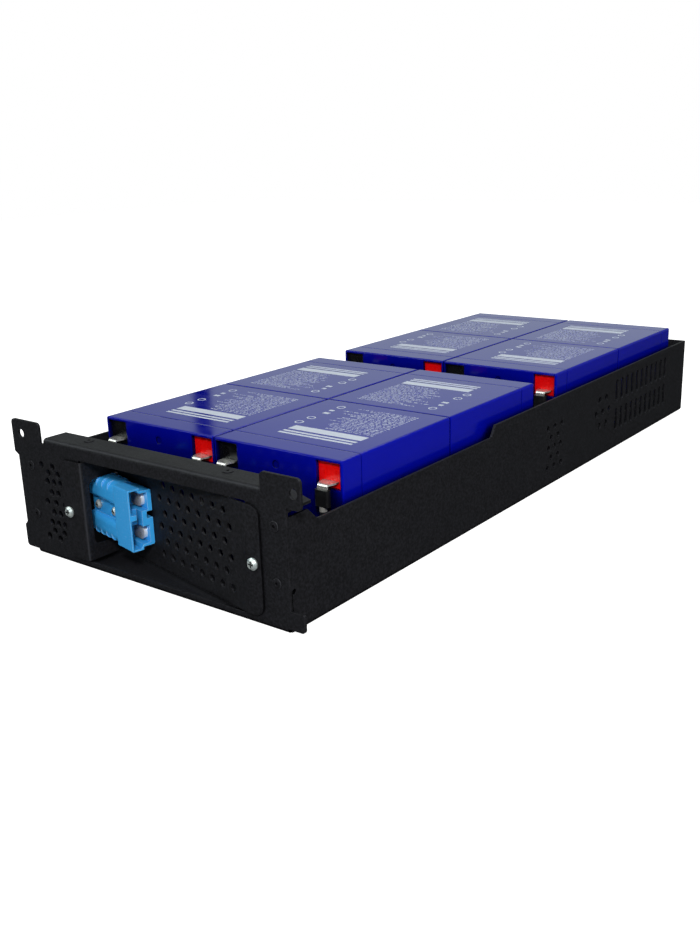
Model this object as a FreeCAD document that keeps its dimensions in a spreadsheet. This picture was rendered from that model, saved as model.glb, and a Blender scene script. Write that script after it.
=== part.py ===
import FreeCAD, Part
import math
import os
import Sketcher
from FreeCAD import Placement, Rotation, Vector

# Battery cartridge of a rack UPS: a folded steel tray with eight sealed lead-acid batteries
# lying on their sides, a recessed perforated panel with a two-pole power connector, and the harness.
# Row frame: X to the right seen from the front, Y to the rear, Z up, origin in the middle of the
# tray's underside. Everything is drawn from the front plate's front face (Y = 0) and then moved.

SIZES = {
    # batteries: one 12 V 5 Ah block is 90 mm wide, about 70 mm thick and lies with its terminal face upright
    "cell_width": 90.0,
    "cell_height": 71.2,
    "cell_length": 101.8,
    "cell_corner": 1.4,
    "lid_length": 16.2,
    "lid_edge": 0.8,
    "seam_edge": 0.3,
    "pair_gap": 0.3,
    "row_gap": 0.4,
    # terminals
    "well_width": 15.8,
    "well_height": 14.4,
    "well_side": 1.5,
    "well_drop": 1.7,
    "well_depth": 6.0,
    "well_floor": 3.5,
    "well_play": 0.1,
    "dimple_dia": 4.4,
    "dimple_drop": 8.7,
    "dimple_depth": 0.5,
    "leaf_gauge": 0.8,
    "leaf_bend": 0.8,
    "leaf_rise": 3.1,
    "leaf_root": 10.0,
    "leaf_front": 7.9,
    "leaf_reach": 4.8,
    "blade_width": 6.35,
    "blade_drop": 7.5,
    "sleeve_width": 8.8,
    "sleeve_depth": 3.8,
    "sleeve_height": 9.0,
    "sleeve_start": 2.8,
    "sleeve_round": 1.5,
    "blade_play": 0.15,
    "crimp_dia": 4.2,
    "crimp_length": 2.7,
    "lead_dia": 3.4,
    "lead_insert": 6.0,
    "lead_exit": 3.0,
    "side_lead_knee": 31.2,
    "side_lead_height": 21.2,
    "main_lead_height": 33.2,
    # tray
    "gauge": 1.5,
    "bend": 0.8,
    "left_space": 9.35,
    "right_space": 5.35,
    "front_space": 52.0,
    "middle_space": 32.5,
    "rear_space": 18.0,
    "wall_reveal": 13.1,
    "low_reveal": 19.9,
    "low_start": 16.0,
    "low_slope": 7.0,
    "low_finish": 190.0,
    "low_rise_run": 4.6,
    "relief_dia": 3.0,
    "relief_height": 21.7,
    "relief_slit": 0.6,
    "inner_flange": 10.5,
    "lip_height": 63.6,
    "lip_width": 20.0,
    "lip_depth": 18.4,
    "lip_taper": 8.5,
    # front plate
    "flange_drop": 0.5,
    "flange_depth": 16.0,
    "flange_left": 80.4,
    "flange_play": 0.2,
    "ear_rise": 8.3,
    "ear_drop": 7.7,
    "left_ear_extra": 3.4,
    "ear_reach": 9.5,
    "ear_width": 25.0,
    "ear_round": 2.5,
    "ear_hole_dia": 5.2,
    "ear_hole_drop": 8.0,
    "ear_hole_left": 8.0,
    "ear_hole_right": 4.6,
    "notch_drop": 1.5,
    "strip_reach": 6.2,
    "strip_step": 2.2,
    "foot_rise": 2.6,
    "foot_height": 12.2,
    "foot_height_left": 15.8,
    "foot_reach": 8.5,
    "foot_round": 2.0,
    "window_play": 0.1,
    "window_right": 73.4,
    "window_sill": 4.6,
    "window_drop": 8.3,
    "plate_vent_dia": 4.3,
    "plate_vent_left": 75.0,
    "plate_vent_height": 34.6,
    "side_vent_dia": 4.2,
    "side_vent_start": 274.6,
    "side_vent_height": 26.8,
    "slot_width": 4.6,
    "slot_length": 17.0,
    "slot_pitch": 9.4,
    "slot_start": 375.0,
    "slot_height": 33.7,
    "slot_row_gap": 5.0,
    "rosette_start": 351.0,
    "rosette_radius": 11.0,
    "rosette_hole": 5.0,
    "rivet_dia": 3.2,
    "rivet_head": 5.6,
    "rivet_rise": 0.6,
    "rivet_play": 0.05,
    "plate_rivet_left": 94.0,
    "plate_rivet_right": 91.4,
    "plate_rivet_low": 25.2,
    "plate_rivet_high": 54.4,
    "flange_rivet_side": 53.0,
    "flange_rivet_depth": 10.5,
    # connector panel
    "panel_gauge": 1.2,
    "panel_bend": 1.0,
    "panel_angle": 11.5,
    "panel_foot": 5.2,
    "panel_head": 62.7,
    "panel_left": 66.0,
    "panel_right": 82.2,
    "panel_return": 48.7,
    "panel_hinge": 72.8,
    "panel_round": 6.0,
    "panel_hole": 4.2,
    "panel_pitch": 9.33,
    "panel_rows": 6,
    "panel_columns": 8,
    "panel_hole_start": 12.7,
    "panel_hole_low": 14.8,
    "panel_screw_left": 61.2,
    "panel_screw_right": 77.4,
    "panel_screw_height": 32.7,
    "gate_front": 3.9,
    "gate_low": 13.8,
    "gate_high": 51.8,
    "gate_round": 4.0,
    "tongue_reach": 13.0,
    "tongue_slit": 1.2,
    "screw_dia": 3.0,
    "screw_play": 0.1,
    "screw_head": 6.4,
    "screw_rise": 2.1,
    "screw_length": 6.0,
    # connector
    "plug_height": 35.2,
    "plug_depth": 14.0,
    "plug_centre": 34.2,
    "plug_station": 28.1,
    "hood_length": 16.0,
    "hood_wall": 0.9,
    "hood_round": 0.8,
    "key_depth": 7.0,
    "key_step": 1.7,
    "barrel_length": 32.0,
    "barrel_spacing": 19.2,
    "barrel_step": 0.4,
    "barrel_round": 5.5,
    "barrel_bore": 3.6,
    "rib_round": 3.3,
    "rib_width": 0.9,
    "rib_start": 8.2,
    "rib_pitch": 6.2,
    "valley_width": 9.8,
    "valley_round": 3.2,
    "web_depth": 10.2,
    "socket_low": 4.4,
    "socket_wall": 1.4,
    "socket_inner": 2.6,
    "socket_depth": 14.0,
    "divider_depth": 6.0,
    "divider_step": 6.4,
    "guide_offset": 1.6,
    "guide_width": 3.0,
    "guide_reach": 3.2,
    "notch_width": 4.0,
    "notch_depth": 3.5,
    "notch_length": 8.0,
    "contact_width": 8.0,
    "contact_gauge": 2.0,
    "contact_tip": 2.7,
    "plug_screw_front": 6.0,
    "plug_screw_pitch": 18.6,
    "plug_screw_head": 5.2,
}

doc = FreeCAD.newDocument("battery_cartridge")
sizes = doc.addObject("Spreadsheet::Sheet", "sizes")
for row, (alias, value) in enumerate(SIZES.items(), start=1):
    sizes.set(f"A{row}", alias)
    sizes.set(f"B{row}", str(value))
    sizes.setAlias(f"B{row}", alias)
doc.recompute()


def size(alias):
    """One value of the spreadsheet as a plain number."""
    return float(getattr(sizes, alias))


# Lengths that follow from the driving sizes.
GAUGE = size("gauge")
BLOCK_WIDTH = 2 * size("cell_width") + size("pair_gap")
BLOCK_LENGTH = 2 * size("cell_length") + size("row_gap")
HALF_WIDTH = (BLOCK_WIDTH + size("left_space") + size("right_space")) / 2 + GAUGE
BLOCK_SHIFT = (size("left_space") - size("right_space")) / 2
REAR_BLOCK = size("front_space") + BLOCK_LENGTH + size("middle_space")
TRAY_LENGTH = REAR_BLOCK + BLOCK_LENGTH + size("rear_space") + GAUGE
TOP = GAUGE + size("cell_height")
WALL_TOP = TOP - size("wall_reveal")
LOW_TOP = TOP - size("low_reveal")
FLANGE_TOP = TOP - size("flange_drop")
EAR_TOP = FLANGE_TOP + size("ear_rise")
EAR_OUT = HALF_WIDTH + size("ear_reach")
EAR_IN = EAR_OUT - size("ear_width")
OUTER_BEND = size("bend") + GAUGE
WINDOW_TOP = FLANGE_TOP - size("window_drop")
WINDOW_LEFT = size("panel_return") + size("panel_gauge") + size("panel_bend") + size("window_play")

DATUM = Placement(Vector(0, -TRAY_LENGTH / 2, 0), Rotation())

nodes = []


# ---------------------------------------------------------------- drawing helpers

def origin_plane(body, role):
    return next(part for part in body.Origin.OriginFeatures if part.Role == role)


def new_body(label, placement=None):
    """A body placed in the tray, or a pattern to be copied when no placement is given."""
    body = doc.addObject("PartDesign::Body", label)
    body.Label = label
    if placement is not None:
        body.Placement = DATUM.multiply(placement)
    return body


def new_sketch(body, role, name, level="0"):
    """A sketch on one origin plane of its body, lifted along the plane's normal by an expression."""
    drawing = body.newObject("Sketcher::SketchObject", name)
    drawing.AttachmentSupport = [(origin_plane(body, role), "")]
    drawing.MapMode = "FlatFace"
    drawing.setExpression("AttachmentOffset.Base.z", level)
    return drawing


def corner_arc(before, corner, after, radius):
    """The two tangent points and the middle of the arc that rounds one corner."""
    incoming = (before - corner).normalize()
    outgoing = (after - corner).normalize()
    half_angle = incoming.getAngle(outgoing) / 2
    reach = radius / math.tan(half_angle)
    bisector = (incoming + outgoing).normalize()
    centre = corner + bisector * (radius / math.sin(half_angle))
    return corner + incoming * reach, centre - bisector * radius, corner + outgoing * reach


def rounded_edges(corners):
    """Lines and arcs of a closed outline given as (x, y, corner radius)."""
    points = [Vector(x, y, 0) for x, y, radius in corners]
    starts, ends, arcs = [], [], []
    for index, (x, y, radius) in enumerate(corners):
        if radius > 0:
            first, middle, last = corner_arc(points[index - 1], points[index],
                                             points[(index + 1) % len(points)], radius)
            arcs.append(Part.Arc(first, middle, last))
        else:
            first = last = points[index]
        starts.append(first)
        ends.append(last)
    lines = []
    for index, last in enumerate(ends):
        following = starts[(index + 1) % len(starts)]
        if last.distanceToPoint(following) > 1e-6:
            lines.append(Part.LineSegment(last, following))
    return lines + arcs


def draw_outline(drawing, corners):
    drawing.addGeometry(rounded_edges(corners), False)


def draw_box(drawing, left, right, low, high, radius=0.0):
    draw_outline(drawing, [(left, low, radius), (right, low, radius),
                           (right, high, radius), (left, high, radius)])


def draw_circles(drawing, centres, alias):
    """Circles whose diameters are bound to one cell."""
    for x, y in centres:
        circle = drawing.addGeometry(
            Part.Circle(Vector(x, y, 0), Vector(0, 0, 1), size(alias) / 2), False)
        limit = drawing.addConstraint(Sketcher.Constraint("Diameter", circle, size(alias)))
        drawing.setExpression(f"Constraints[{limit}]", f"sizes.{alias}")


def offset_path(points, distance):
    """A polyline moved sideways to its left, with mitred corners."""
    moved = []
    for index, point in enumerate(points):
        before = points[max(index - 1, 0)]
        after = points[min(index + 1, len(points) - 1)]
        one = (point - before) if index > 0 else (after - point)
        two = (after - point) if index < len(points) - 1 else (point - before)
        one.normalize()
        two.normalize()
        left_one = Vector(-one.y, one.x, 0)
        left_two = Vector(-two.y, two.x, 0)
        mitre = (left_one + left_two).normalize()
        moved.append(point + mitre * (distance / mitre.dot(left_one)))
    return moved


def strip_outline(path, gauge, inner_bend):
    """Outline of a folded sheet: the path is its right-hand face, the gauge goes to the left."""
    points = [Vector(x, y, 0) for x, y in path]
    other = offset_path(points, gauge)
    near, far = [], []
    for index, (point, mate) in enumerate(zip(points, other)):
        radius_near = radius_far = 0.0
        if 0 < index < len(points) - 1:
            turn = (point - points[index - 1]).cross(points[index + 1] - point).z
            radius_near = inner_bend if turn < 0 else inner_bend + gauge
            radius_far = inner_bend + gauge if turn < 0 else inner_bend
        near.append((point.x, point.y, radius_near))
        far.append((mate.x, mate.y, radius_far))
    return near + far[::-1]


def pad(body, drawing, name, length, backwards=False, both_ways=False):
    feature = body.newObject("PartDesign::Pad", name)
    feature.Profile = drawing
    feature.setExpression("Length", length)
    feature.Reversed = backwards
    feature.Midplane = both_ways
    drawing.Visibility = False
    return feature


def pocket(body, drawing, name, length, backwards=False, both_ways=False):
    before = body.Tip
    doc.recompute()
    volume = before.Shape.Volume
    feature = body.newObject("PartDesign::Pocket", name)
    feature.Profile = drawing
    feature.setExpression("Length", length)
    feature.Reversed = backwards
    feature.Midplane = both_ways
    drawing.Visibility = False
    doc.recompute()
    if feature.Shape.Volume >= volume - 1e-6:
        raise RuntimeError(f"{name} cuts nothing")
    return feature


def revolve(body, drawing, name):
    feature = body.newObject("PartDesign::Revolution", name)
    feature.Profile = drawing
    feature.ReferenceAxis = (drawing, ["V_Axis"])
    feature.Angle = 360
    drawing.Visibility = False
    return feature


def edges_where(shape, test):
    """Names of the edges whose two ends and middle all pass a test."""
    names = []
    for index, edge in enumerate(shape.Edges, start=1):
        samples = [vertex.Point for vertex in edge.Vertexes]
        samples.append(edge.valueAt((edge.FirstParameter + edge.LastParameter) / 2))
        if all(test(point) for point in samples):
            names.append(f"Edge{index}")
    return names


def dress(body, kind, name, test, expression):
    """A fillet or chamfer on the tip's edges that pass the test."""
    doc.recompute()
    base = body.Tip
    feature = body.newObject(f"PartDesign::{kind}", name)
    feature.Base = (base, edges_where(base.Shape, test))
    feature.setExpression("Radius" if kind == "Fillet" else "Size", expression)
    return feature


def group(label, pattern, placements):
    """One node that holds separate copies of a small piece."""
    doc.recompute()
    item = doc.addObject("Part::Feature", label)
    item.Label = label
    copies = []
    for place in placements:
        copy = pattern.Shape.copy()
        copy.Placement = place.multiply(copy.Placement)
        copies.append(copy)
    item.Shape = Part.makeCompound(copies)
    item.Placement = DATUM
    nodes.append(item)
    return item


def grid(rows):
    """Hole centres of a vent group given as (height, count, pitch) for each row."""
    return [((column - (count - 1) / 2) * pitch, height)
            for height, count, pitch in rows for column in range(count)]


def shifted(centres, x, y):
    return [(x + dx, y + dy) for dx, dy in centres]


# ---------------------------------------------------------------- tray

PLATE_VENTS = [(21.6, 3, 9.9), (17.6, 2, 8.4), (12.4, 3, 5.8), (6.0, 2, 5.8), (0.0, 3, 8.0),
               (-6.0, 2, 5.8), (-12.4, 3, 5.8), (-17.6, 2, 8.4), (-21.6, 3, 9.9)]
SIDE_VENTS = [(13.7, 3, 9.9), (6.9, 2, 9.9), (0.0, 3, 8.7), (-6.9, 2, 9.9), (-13.7, 3, 9.9)]


def plate_outline():
    """The front plate from its left foot clockwise: strip, left ear, top, right ear, right foot."""
    foot_base = size("foot_rise")
    foot_out = HALF_WIDTH + size("foot_reach")
    strip_out = HALF_WIDTH + size("strip_reach")
    fold_end = HALF_WIDTH - OUTER_BEND
    step = size("strip_step")
    ear_base = FLANGE_TOP - size("ear_drop")
    left_base = ear_base - size("left_ear_extra")
    notch = FLANGE_TOP - OUTER_BEND - size("notch_drop")
    shoulder = FLANGE_TOP - OUTER_BEND
    return [
        (-foot_out, foot_base, size("foot_round")),
        (-foot_out, size("foot_height_left"), 0),
        (-strip_out, size("foot_height_left") + step, 0),
        (-strip_out, left_base - step, 0),
        (-EAR_OUT, left_base, 0),
        (-EAR_OUT, EAR_TOP, size("ear_round")),
        (-EAR_IN, EAR_TOP, size("ear_round")),
        (-EAR_IN, notch, 1.0),
        (-size("flange_left"), notch, 1.0),
        (-size("flange_left"), shoulder, 0),
        (EAR_IN, shoulder, 0),
        (EAR_IN, EAR_TOP, size("ear_round")),
        (EAR_OUT, EAR_TOP, size("ear_round")),
        (EAR_OUT, ear_base, size("ear_round")),
        (HALF_WIDTH, ear_base, 0),
        (HALF_WIDTH, size("foot_height"), 0),
        (foot_out, size("foot_height"), 1.0),
        (foot_out, foot_base, size("foot_round")),
        (fold_end, foot_base, 0),
        (fold_end, OUTER_BEND, 0),
        (-fold_end, OUTER_BEND, 0),
        (-fold_end, foot_base, 0),
    ]


def make_tray():
    body = new_body("tray", Placement())
    floor_end = f"{TRAY_LENGTH - GAUGE - size('relief_slit')}"

    # floor and side walls are one channel
    drawing = new_sketch(body, "XZ_Plane", "channel_profile", "-(sizes.gauge + sizes.relief_slit)")
    channel = [(HALF_WIDTH, WALL_TOP), (HALF_WIDTH, 0), (-HALF_WIDTH, 0), (-HALF_WIDTH, WALL_TOP)]
    draw_outline(drawing, strip_outline(channel[::-1], GAUGE, size("bend")))
    pad(body, drawing, "channel", floor_end, backwards=True)

    # rear wall folded up between the side walls
    drawing = new_sketch(body, "YZ_Plane", "rear_profile")
    draw_box(drawing, TRAY_LENGTH - GAUGE, TRAY_LENGTH, GAUGE / 2, WALL_TOP)
    pad(body, drawing, "rear_wall", f"{2 * HALF_WIDTH - GAUGE}", both_ways=True)

    # front plate with its ears and feet
    drawing = new_sketch(body, "XZ_Plane", "plate_outline")
    draw_outline(drawing, plate_outline())
    pad(body, drawing, "front_plate", "sizes.gauge", backwards=True)

    # fold between floor and plate
    drawing = new_sketch(body, "YZ_Plane", "front_fold_profile")
    run = OUTER_BEND + size("relief_slit")
    fold = strip_outline([(0, OUTER_BEND), (0, 0), (run, 0)], GAUGE, size("bend"))
    draw_outline(drawing, fold)
    pad(body, drawing, "front_fold", f"{2 * (HALF_WIDTH - OUTER_BEND)}", both_ways=True)

    # top flange folded back from the plate
    drawing = new_sketch(body, "YZ_Plane", "flange_profile", "-sizes.flange_left")
    flange = [(size("flange_depth"), FLANGE_TOP), (0, FLANGE_TOP), (0, FLANGE_TOP - OUTER_BEND)]
    draw_outline(drawing, strip_outline(flange, GAUGE, size("bend")))
    pad(body, drawing, "top_flange", f"{size('flange_left') + EAR_IN - size('flange_play')}")

    # flanges of the side walls behind the plate, each with a lip folded back at its head
    for side, name in ((-1, "left"), (1, "right")):
        drawing = new_sketch(body, "XZ_Plane", f"{name}_flange_profile", "-sizes.gauge")
        edges = sorted((side * (HALF_WIDTH - GAUGE), side * (HALF_WIDTH - GAUGE - size("inner_flange"))))
        draw_box(drawing, edges[0], edges[1], size("relief_height"), size("lip_height"))
        pad(body, drawing, f"{name}_flange", "sizes.gauge", backwards=True)
        drawing = new_sketch(body, "XZ_Plane", f"{name}_corner_profile", "-sizes.gauge")
        edges = sorted((side * (HALF_WIDTH - GAUGE), side * HALF_WIDTH))
        draw_box(drawing, edges[0], edges[1], size("relief_height"), WALL_TOP)
        pad(body, drawing, f"{name}_corner", "sizes.gauge", backwards=True)
        drawing = new_sketch(body, "XY_Plane", f"{name}_lip_outline", "sizes.lip_height - sizes.gauge")
        edges = sorted((side * HALF_WIDTH, side * (HALF_WIDTH - size("lip_width"))))
        wall, inner = edges if side < 0 else edges[::-1]
        draw_outline(drawing, [(wall, GAUGE, 0), (wall, size("lip_depth"), 0),
                               (inner, size("lip_depth") + size("lip_taper"), 0), (inner, GAUGE, 0)][::side])
        pad(body, drawing, f"{name}_lip", "sizes.gauge")

    # bend between floor and rear wall
    drawing = new_sketch(body, "YZ_Plane", "rear_bend_outline")
    draw_outline(drawing, [(TRAY_LENGTH - OUTER_BEND, 0, 0), (TRAY_LENGTH, 0, OUTER_BEND),
                           (TRAY_LENGTH, OUTER_BEND, 0), (TRAY_LENGTH + 1, OUTER_BEND, 0),
                           (TRAY_LENGTH + 1, -1, 0), (TRAY_LENGTH - OUTER_BEND, -1, 0)])
    pocket(body, drawing, "rear_bend", f"{2 * HALF_WIDTH + 2}", both_ways=True)

    # low stretch of the right wall
    drawing = new_sketch(body, "YZ_Plane", "low_wall_outline", f"{HALF_WIDTH + 1}")
    above = WALL_TOP + 1
    start = size("low_start")
    finish = size("low_finish")
    draw_outline(drawing, [
        (start, above, 0), (start, WALL_TOP, 0), (start + size("low_slope"), LOW_TOP, 3),
        (finish, LOW_TOP, 2), (finish + size("low_rise_run"), WALL_TOP, 0),
        (finish + size("low_rise_run"), above, 0)])
    pocket(body, drawing, "low_wall", "2 * sizes.gauge + 1")

    # relief hole and slit at the foot of each side wall's front fold
    drawing = new_sketch(body, "YZ_Plane", "relief_outline")
    draw_circles(drawing, [(GAUGE + size("relief_dia") / 2, size("relief_height"))], "relief_dia")
    pocket(body, drawing, "relief_holes", f"{2 * HALF_WIDTH + 2}", both_ways=True)

    cut_plate(body)
    cut_side_walls(body)
    nodes.append(body)
    return body


def cut_plate(body):
    """Openings of the front plate and its flange."""
    drawing = new_sketch(body, "XZ_Plane", "window_outline", "1")
    draw_box(drawing, -WINDOW_LEFT, size("window_right"), size("window_sill"), WINDOW_TOP, 1.0)
    pocket(body, drawing, "window", "sizes.gauge + 1.5")

    drawing = new_sketch(body, "XZ_Plane", "ear_hole_outline", "1")
    height = EAR_TOP - size("ear_hole_drop")
    draw_circles(drawing, [(-EAR_OUT + size("ear_hole_left"), height),
                           (EAR_OUT - size("ear_hole_right"), height)], "ear_hole_dia")
    pocket(body, drawing, "ear_holes", "sizes.gauge + 1.2")

    drawing = new_sketch(body, "XZ_Plane", "plate_vent_outline", "1")
    draw_circles(drawing, shifted(grid(PLATE_VENTS), -size("plate_vent_left"), size("plate_vent_height")),
                 "plate_vent_dia")
    pocket(body, drawing, "plate_vents", "sizes.gauge + 1.2")

    drawing = new_sketch(body, "XZ_Plane", "plate_rivet_outline", "1")
    draw_circles(drawing, plate_rivet_centres(), "rivet_dia")
    pocket(body, drawing, "plate_rivet_holes", "2 * sizes.gauge + 1.2")

    drawing = new_sketch(body, "XZ_Plane", "panel_screw_outline", "1")
    draw_circles(drawing, panel_screw_centres(), "screw_dia")
    pocket(body, drawing, "panel_screw_holes", "sizes.gauge + 1.2")

    drawing = new_sketch(body, "XY_Plane", "flange_rivet_outline", f"{FLANGE_TOP + 1}")
    draw_circles(drawing, flange_rivet_centres(), "rivet_dia")
    pocket(body, drawing, "flange_rivet_holes", "sizes.gauge + 1.2")


def cut_side_walls(body):
    """Vents of both side walls, and the slots and the rosette of the right one."""
    drawing = new_sketch(body, "YZ_Plane", "side_vent_outline")
    draw_circles(drawing, shifted(grid(SIDE_VENTS), size("side_vent_start"), size("side_vent_height")),
                 "side_vent_dia")
    pocket(body, drawing, "side_vents", f"{2 * HALF_WIDTH + 2}", both_ways=True)

    drawing = new_sketch(body, "YZ_Plane", "slot_outline", f"{HALF_WIDTH + 1}")
    radius = size("slot_width") / 2
    offset = (size("slot_length") + size("slot_row_gap")) / 2
    for column in range(11):
        middle = size("slot_start") + column * size("slot_pitch")
        for height in (size("slot_height") + offset, size("slot_height") - offset):
            draw_box(drawing, middle - radius, middle + radius, height - size("slot_length") / 2,
                     height + size("slot_length") / 2, 0.98 * radius)
    pocket(body, drawing, "slots", "sizes.gauge + 1.2")

    drawing = new_sketch(body, "YZ_Plane", "rosette_outline", f"{HALF_WIDTH + 1}")
    ring = [(size("rosette_radius") * math.cos(turn), size("rosette_radius") * math.sin(turn))
            for turn in (math.pi / 3 * step for step in range(6))]
    draw_circles(drawing, shifted([(0, 0)] + ring, size("rosette_start"), size("slot_height")),
                 "rosette_hole")
    pocket(body, drawing, "rosette", "sizes.gauge + 1.2")


def plate_rivet_centres():
    return [(side, height)
            for side in (-size("plate_rivet_left"), size("plate_rivet_right"))
            for height in (size("plate_rivet_low"), size("plate_rivet_high"))]


def flange_rivet_centres():
    return [(-size("flange_rivet_side"), size("flange_rivet_depth")),
            (size("flange_rivet_side"), size("flange_rivet_depth"))]


def panel_screw_centres():
    return [(-size("panel_screw_left"), size("panel_screw_height")),
            (size("panel_screw_right"), size("panel_screw_height"))]


# ---------------------------------------------------------------- connector panel

SLANT = math.radians(size("panel_angle"))
PANEL_DEPTH = (size("panel_hinge") + size("panel_return")) * math.tan(SLANT) - size("panel_gauge")


def slant_depth(x):
    """Depth of the slanted panel's front face behind the front plate's face."""
    return (size("panel_hinge") - x) * math.tan(SLANT) - size("panel_gauge")


def make_connector_panel():
    """One perforated sheet: left flange, return wall with a gate, slanted face, right flange."""
    body = new_body("connector_panel", Placement())
    gauge = size("panel_gauge")
    drawing = new_sketch(body, "XY_Plane", "panel_profile", "sizes.panel_foot")
    path = [(-size("panel_left"), -gauge), (-size("panel_return"), -gauge),
            (-size("panel_return"), PANEL_DEPTH), (size("panel_hinge"), -gauge),
            (size("panel_right"), -gauge)]
    draw_outline(drawing, strip_outline(path, gauge, size("panel_bend")))
    pad(body, drawing, "panel_sheet", "sizes.panel_head - sizes.panel_foot")

    # rounded outer corners of the two flanges
    dress(body, "Fillet", "panel_corners",
          lambda point: abs(point.x + size("panel_left")) < 0.01 or abs(point.x - size("panel_right")) < 0.01
          if min(abs(point.z - size("panel_foot")), abs(point.z - size("panel_head"))) < 0.01 else False,
          "sizes.panel_round")

    # gate in the return wall for the connector and its leads
    drawing = new_sketch(body, "YZ_Plane", "gate_outline", f"{-size('panel_return') + 1.5}")
    low = size("gate_low")
    high = size("gate_high")
    draw_box(drawing, size("gate_front"), PANEL_DEPTH + 2 * gauge + size("gate_round"), low, high,
             size("gate_round"))
    pocket(body, drawing, "gate", f"{gauge + 2.5}")

    # tongue that stays in the slanted plane where the gate is cut, and carries the connector's rear
    drawing = slanted_sketch(body, "tongue_outline", 0.0)
    corner_run = (size("panel_hinge") + size("panel_return")) / math.cos(SLANT)
    draw_box(drawing, -corner_run - size("tongue_reach"), -corner_run + 3 * gauge,
             low + size("tongue_slit"), high - size("tongue_slit"), 1.0)
    pad(body, drawing, "tongue", "sizes.panel_gauge", backwards=True)

    # screw holes
    drawing = new_sketch(body, "XZ_Plane", "screw_hole_outline", "2")
    draw_circles(drawing, panel_screw_centres(), "screw_dia")
    pocket(body, drawing, "screw_holes", "sizes.panel_gauge + 1")

    # staggered round holes, square to the slanted face
    centres = []
    for row in range(int(size("panel_rows"))):
        stagger = (row % 2) * size("panel_pitch") / 2
        height = size("panel_hole_low") + row * size("panel_pitch") * math.sqrt(3) / 2
        count = int(size("panel_columns")) - row % 2
        for column in range(count):
            along = size("panel_hole_start") + stagger + column * size("panel_pitch")
            centres.append((-along, height))
    drawing = slanted_sketch(body, "panel_hole_outline")
    draw_circles(drawing, centres, "panel_hole")
    pocket(body, drawing, "panel_holes", "sizes.panel_gauge + 2")
    drawing = slanted_sketch(body, "plug_screw_outline")
    draw_circles(drawing, [(-plug_origin_run() + x, size("plug_centre")) for x in plug_screw_runs()],
                 "screw_dia")
    pocket(body, drawing, "plug_screw_holes", "sizes.panel_gauge + 2")
    nodes.append(body)
    return body


def slanted_sketch(body, name, ahead=1.0):
    """A sketch parallel to the slanted face and ahead of it: x runs along the face from its hinge."""
    drawing = new_sketch(body, "XZ_Plane", name)
    turn = Rotation(Vector(0, 1, 0), -math.degrees(SLANT))
    ahead = Vector(-math.sin(SLANT), -math.cos(SLANT), 0) * ahead
    hinge = Vector(size("panel_hinge"), -size("panel_gauge"), 0) + ahead
    drawing.setExpression("AttachmentOffset.Base.z", None)
    drawing.AttachmentOffset = Placement(Vector(hinge.x, 0, -hinge.y), turn)
    return drawing


def plug_origin_run():
    """Distance along the slanted face from the hinge to the connector's origin."""
    return (size("panel_hinge") + size("plug_station")) / math.cos(SLANT)


def plug_screw_runs():
    return [-size("plug_screw_front"), -size("plug_screw_front") - size("plug_screw_pitch")]


# ---------------------------------------------------------------- power connector

def plug_placement():
    """Connector frame: X along its axis to the mating end, -Y away from the panel, Z up."""
    origin = Vector(-size("plug_station"), slant_depth(-size("plug_station")), size("plug_centre"))
    return Placement(origin, Rotation(Vector(0, 0, 1), -size("panel_angle")))


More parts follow.
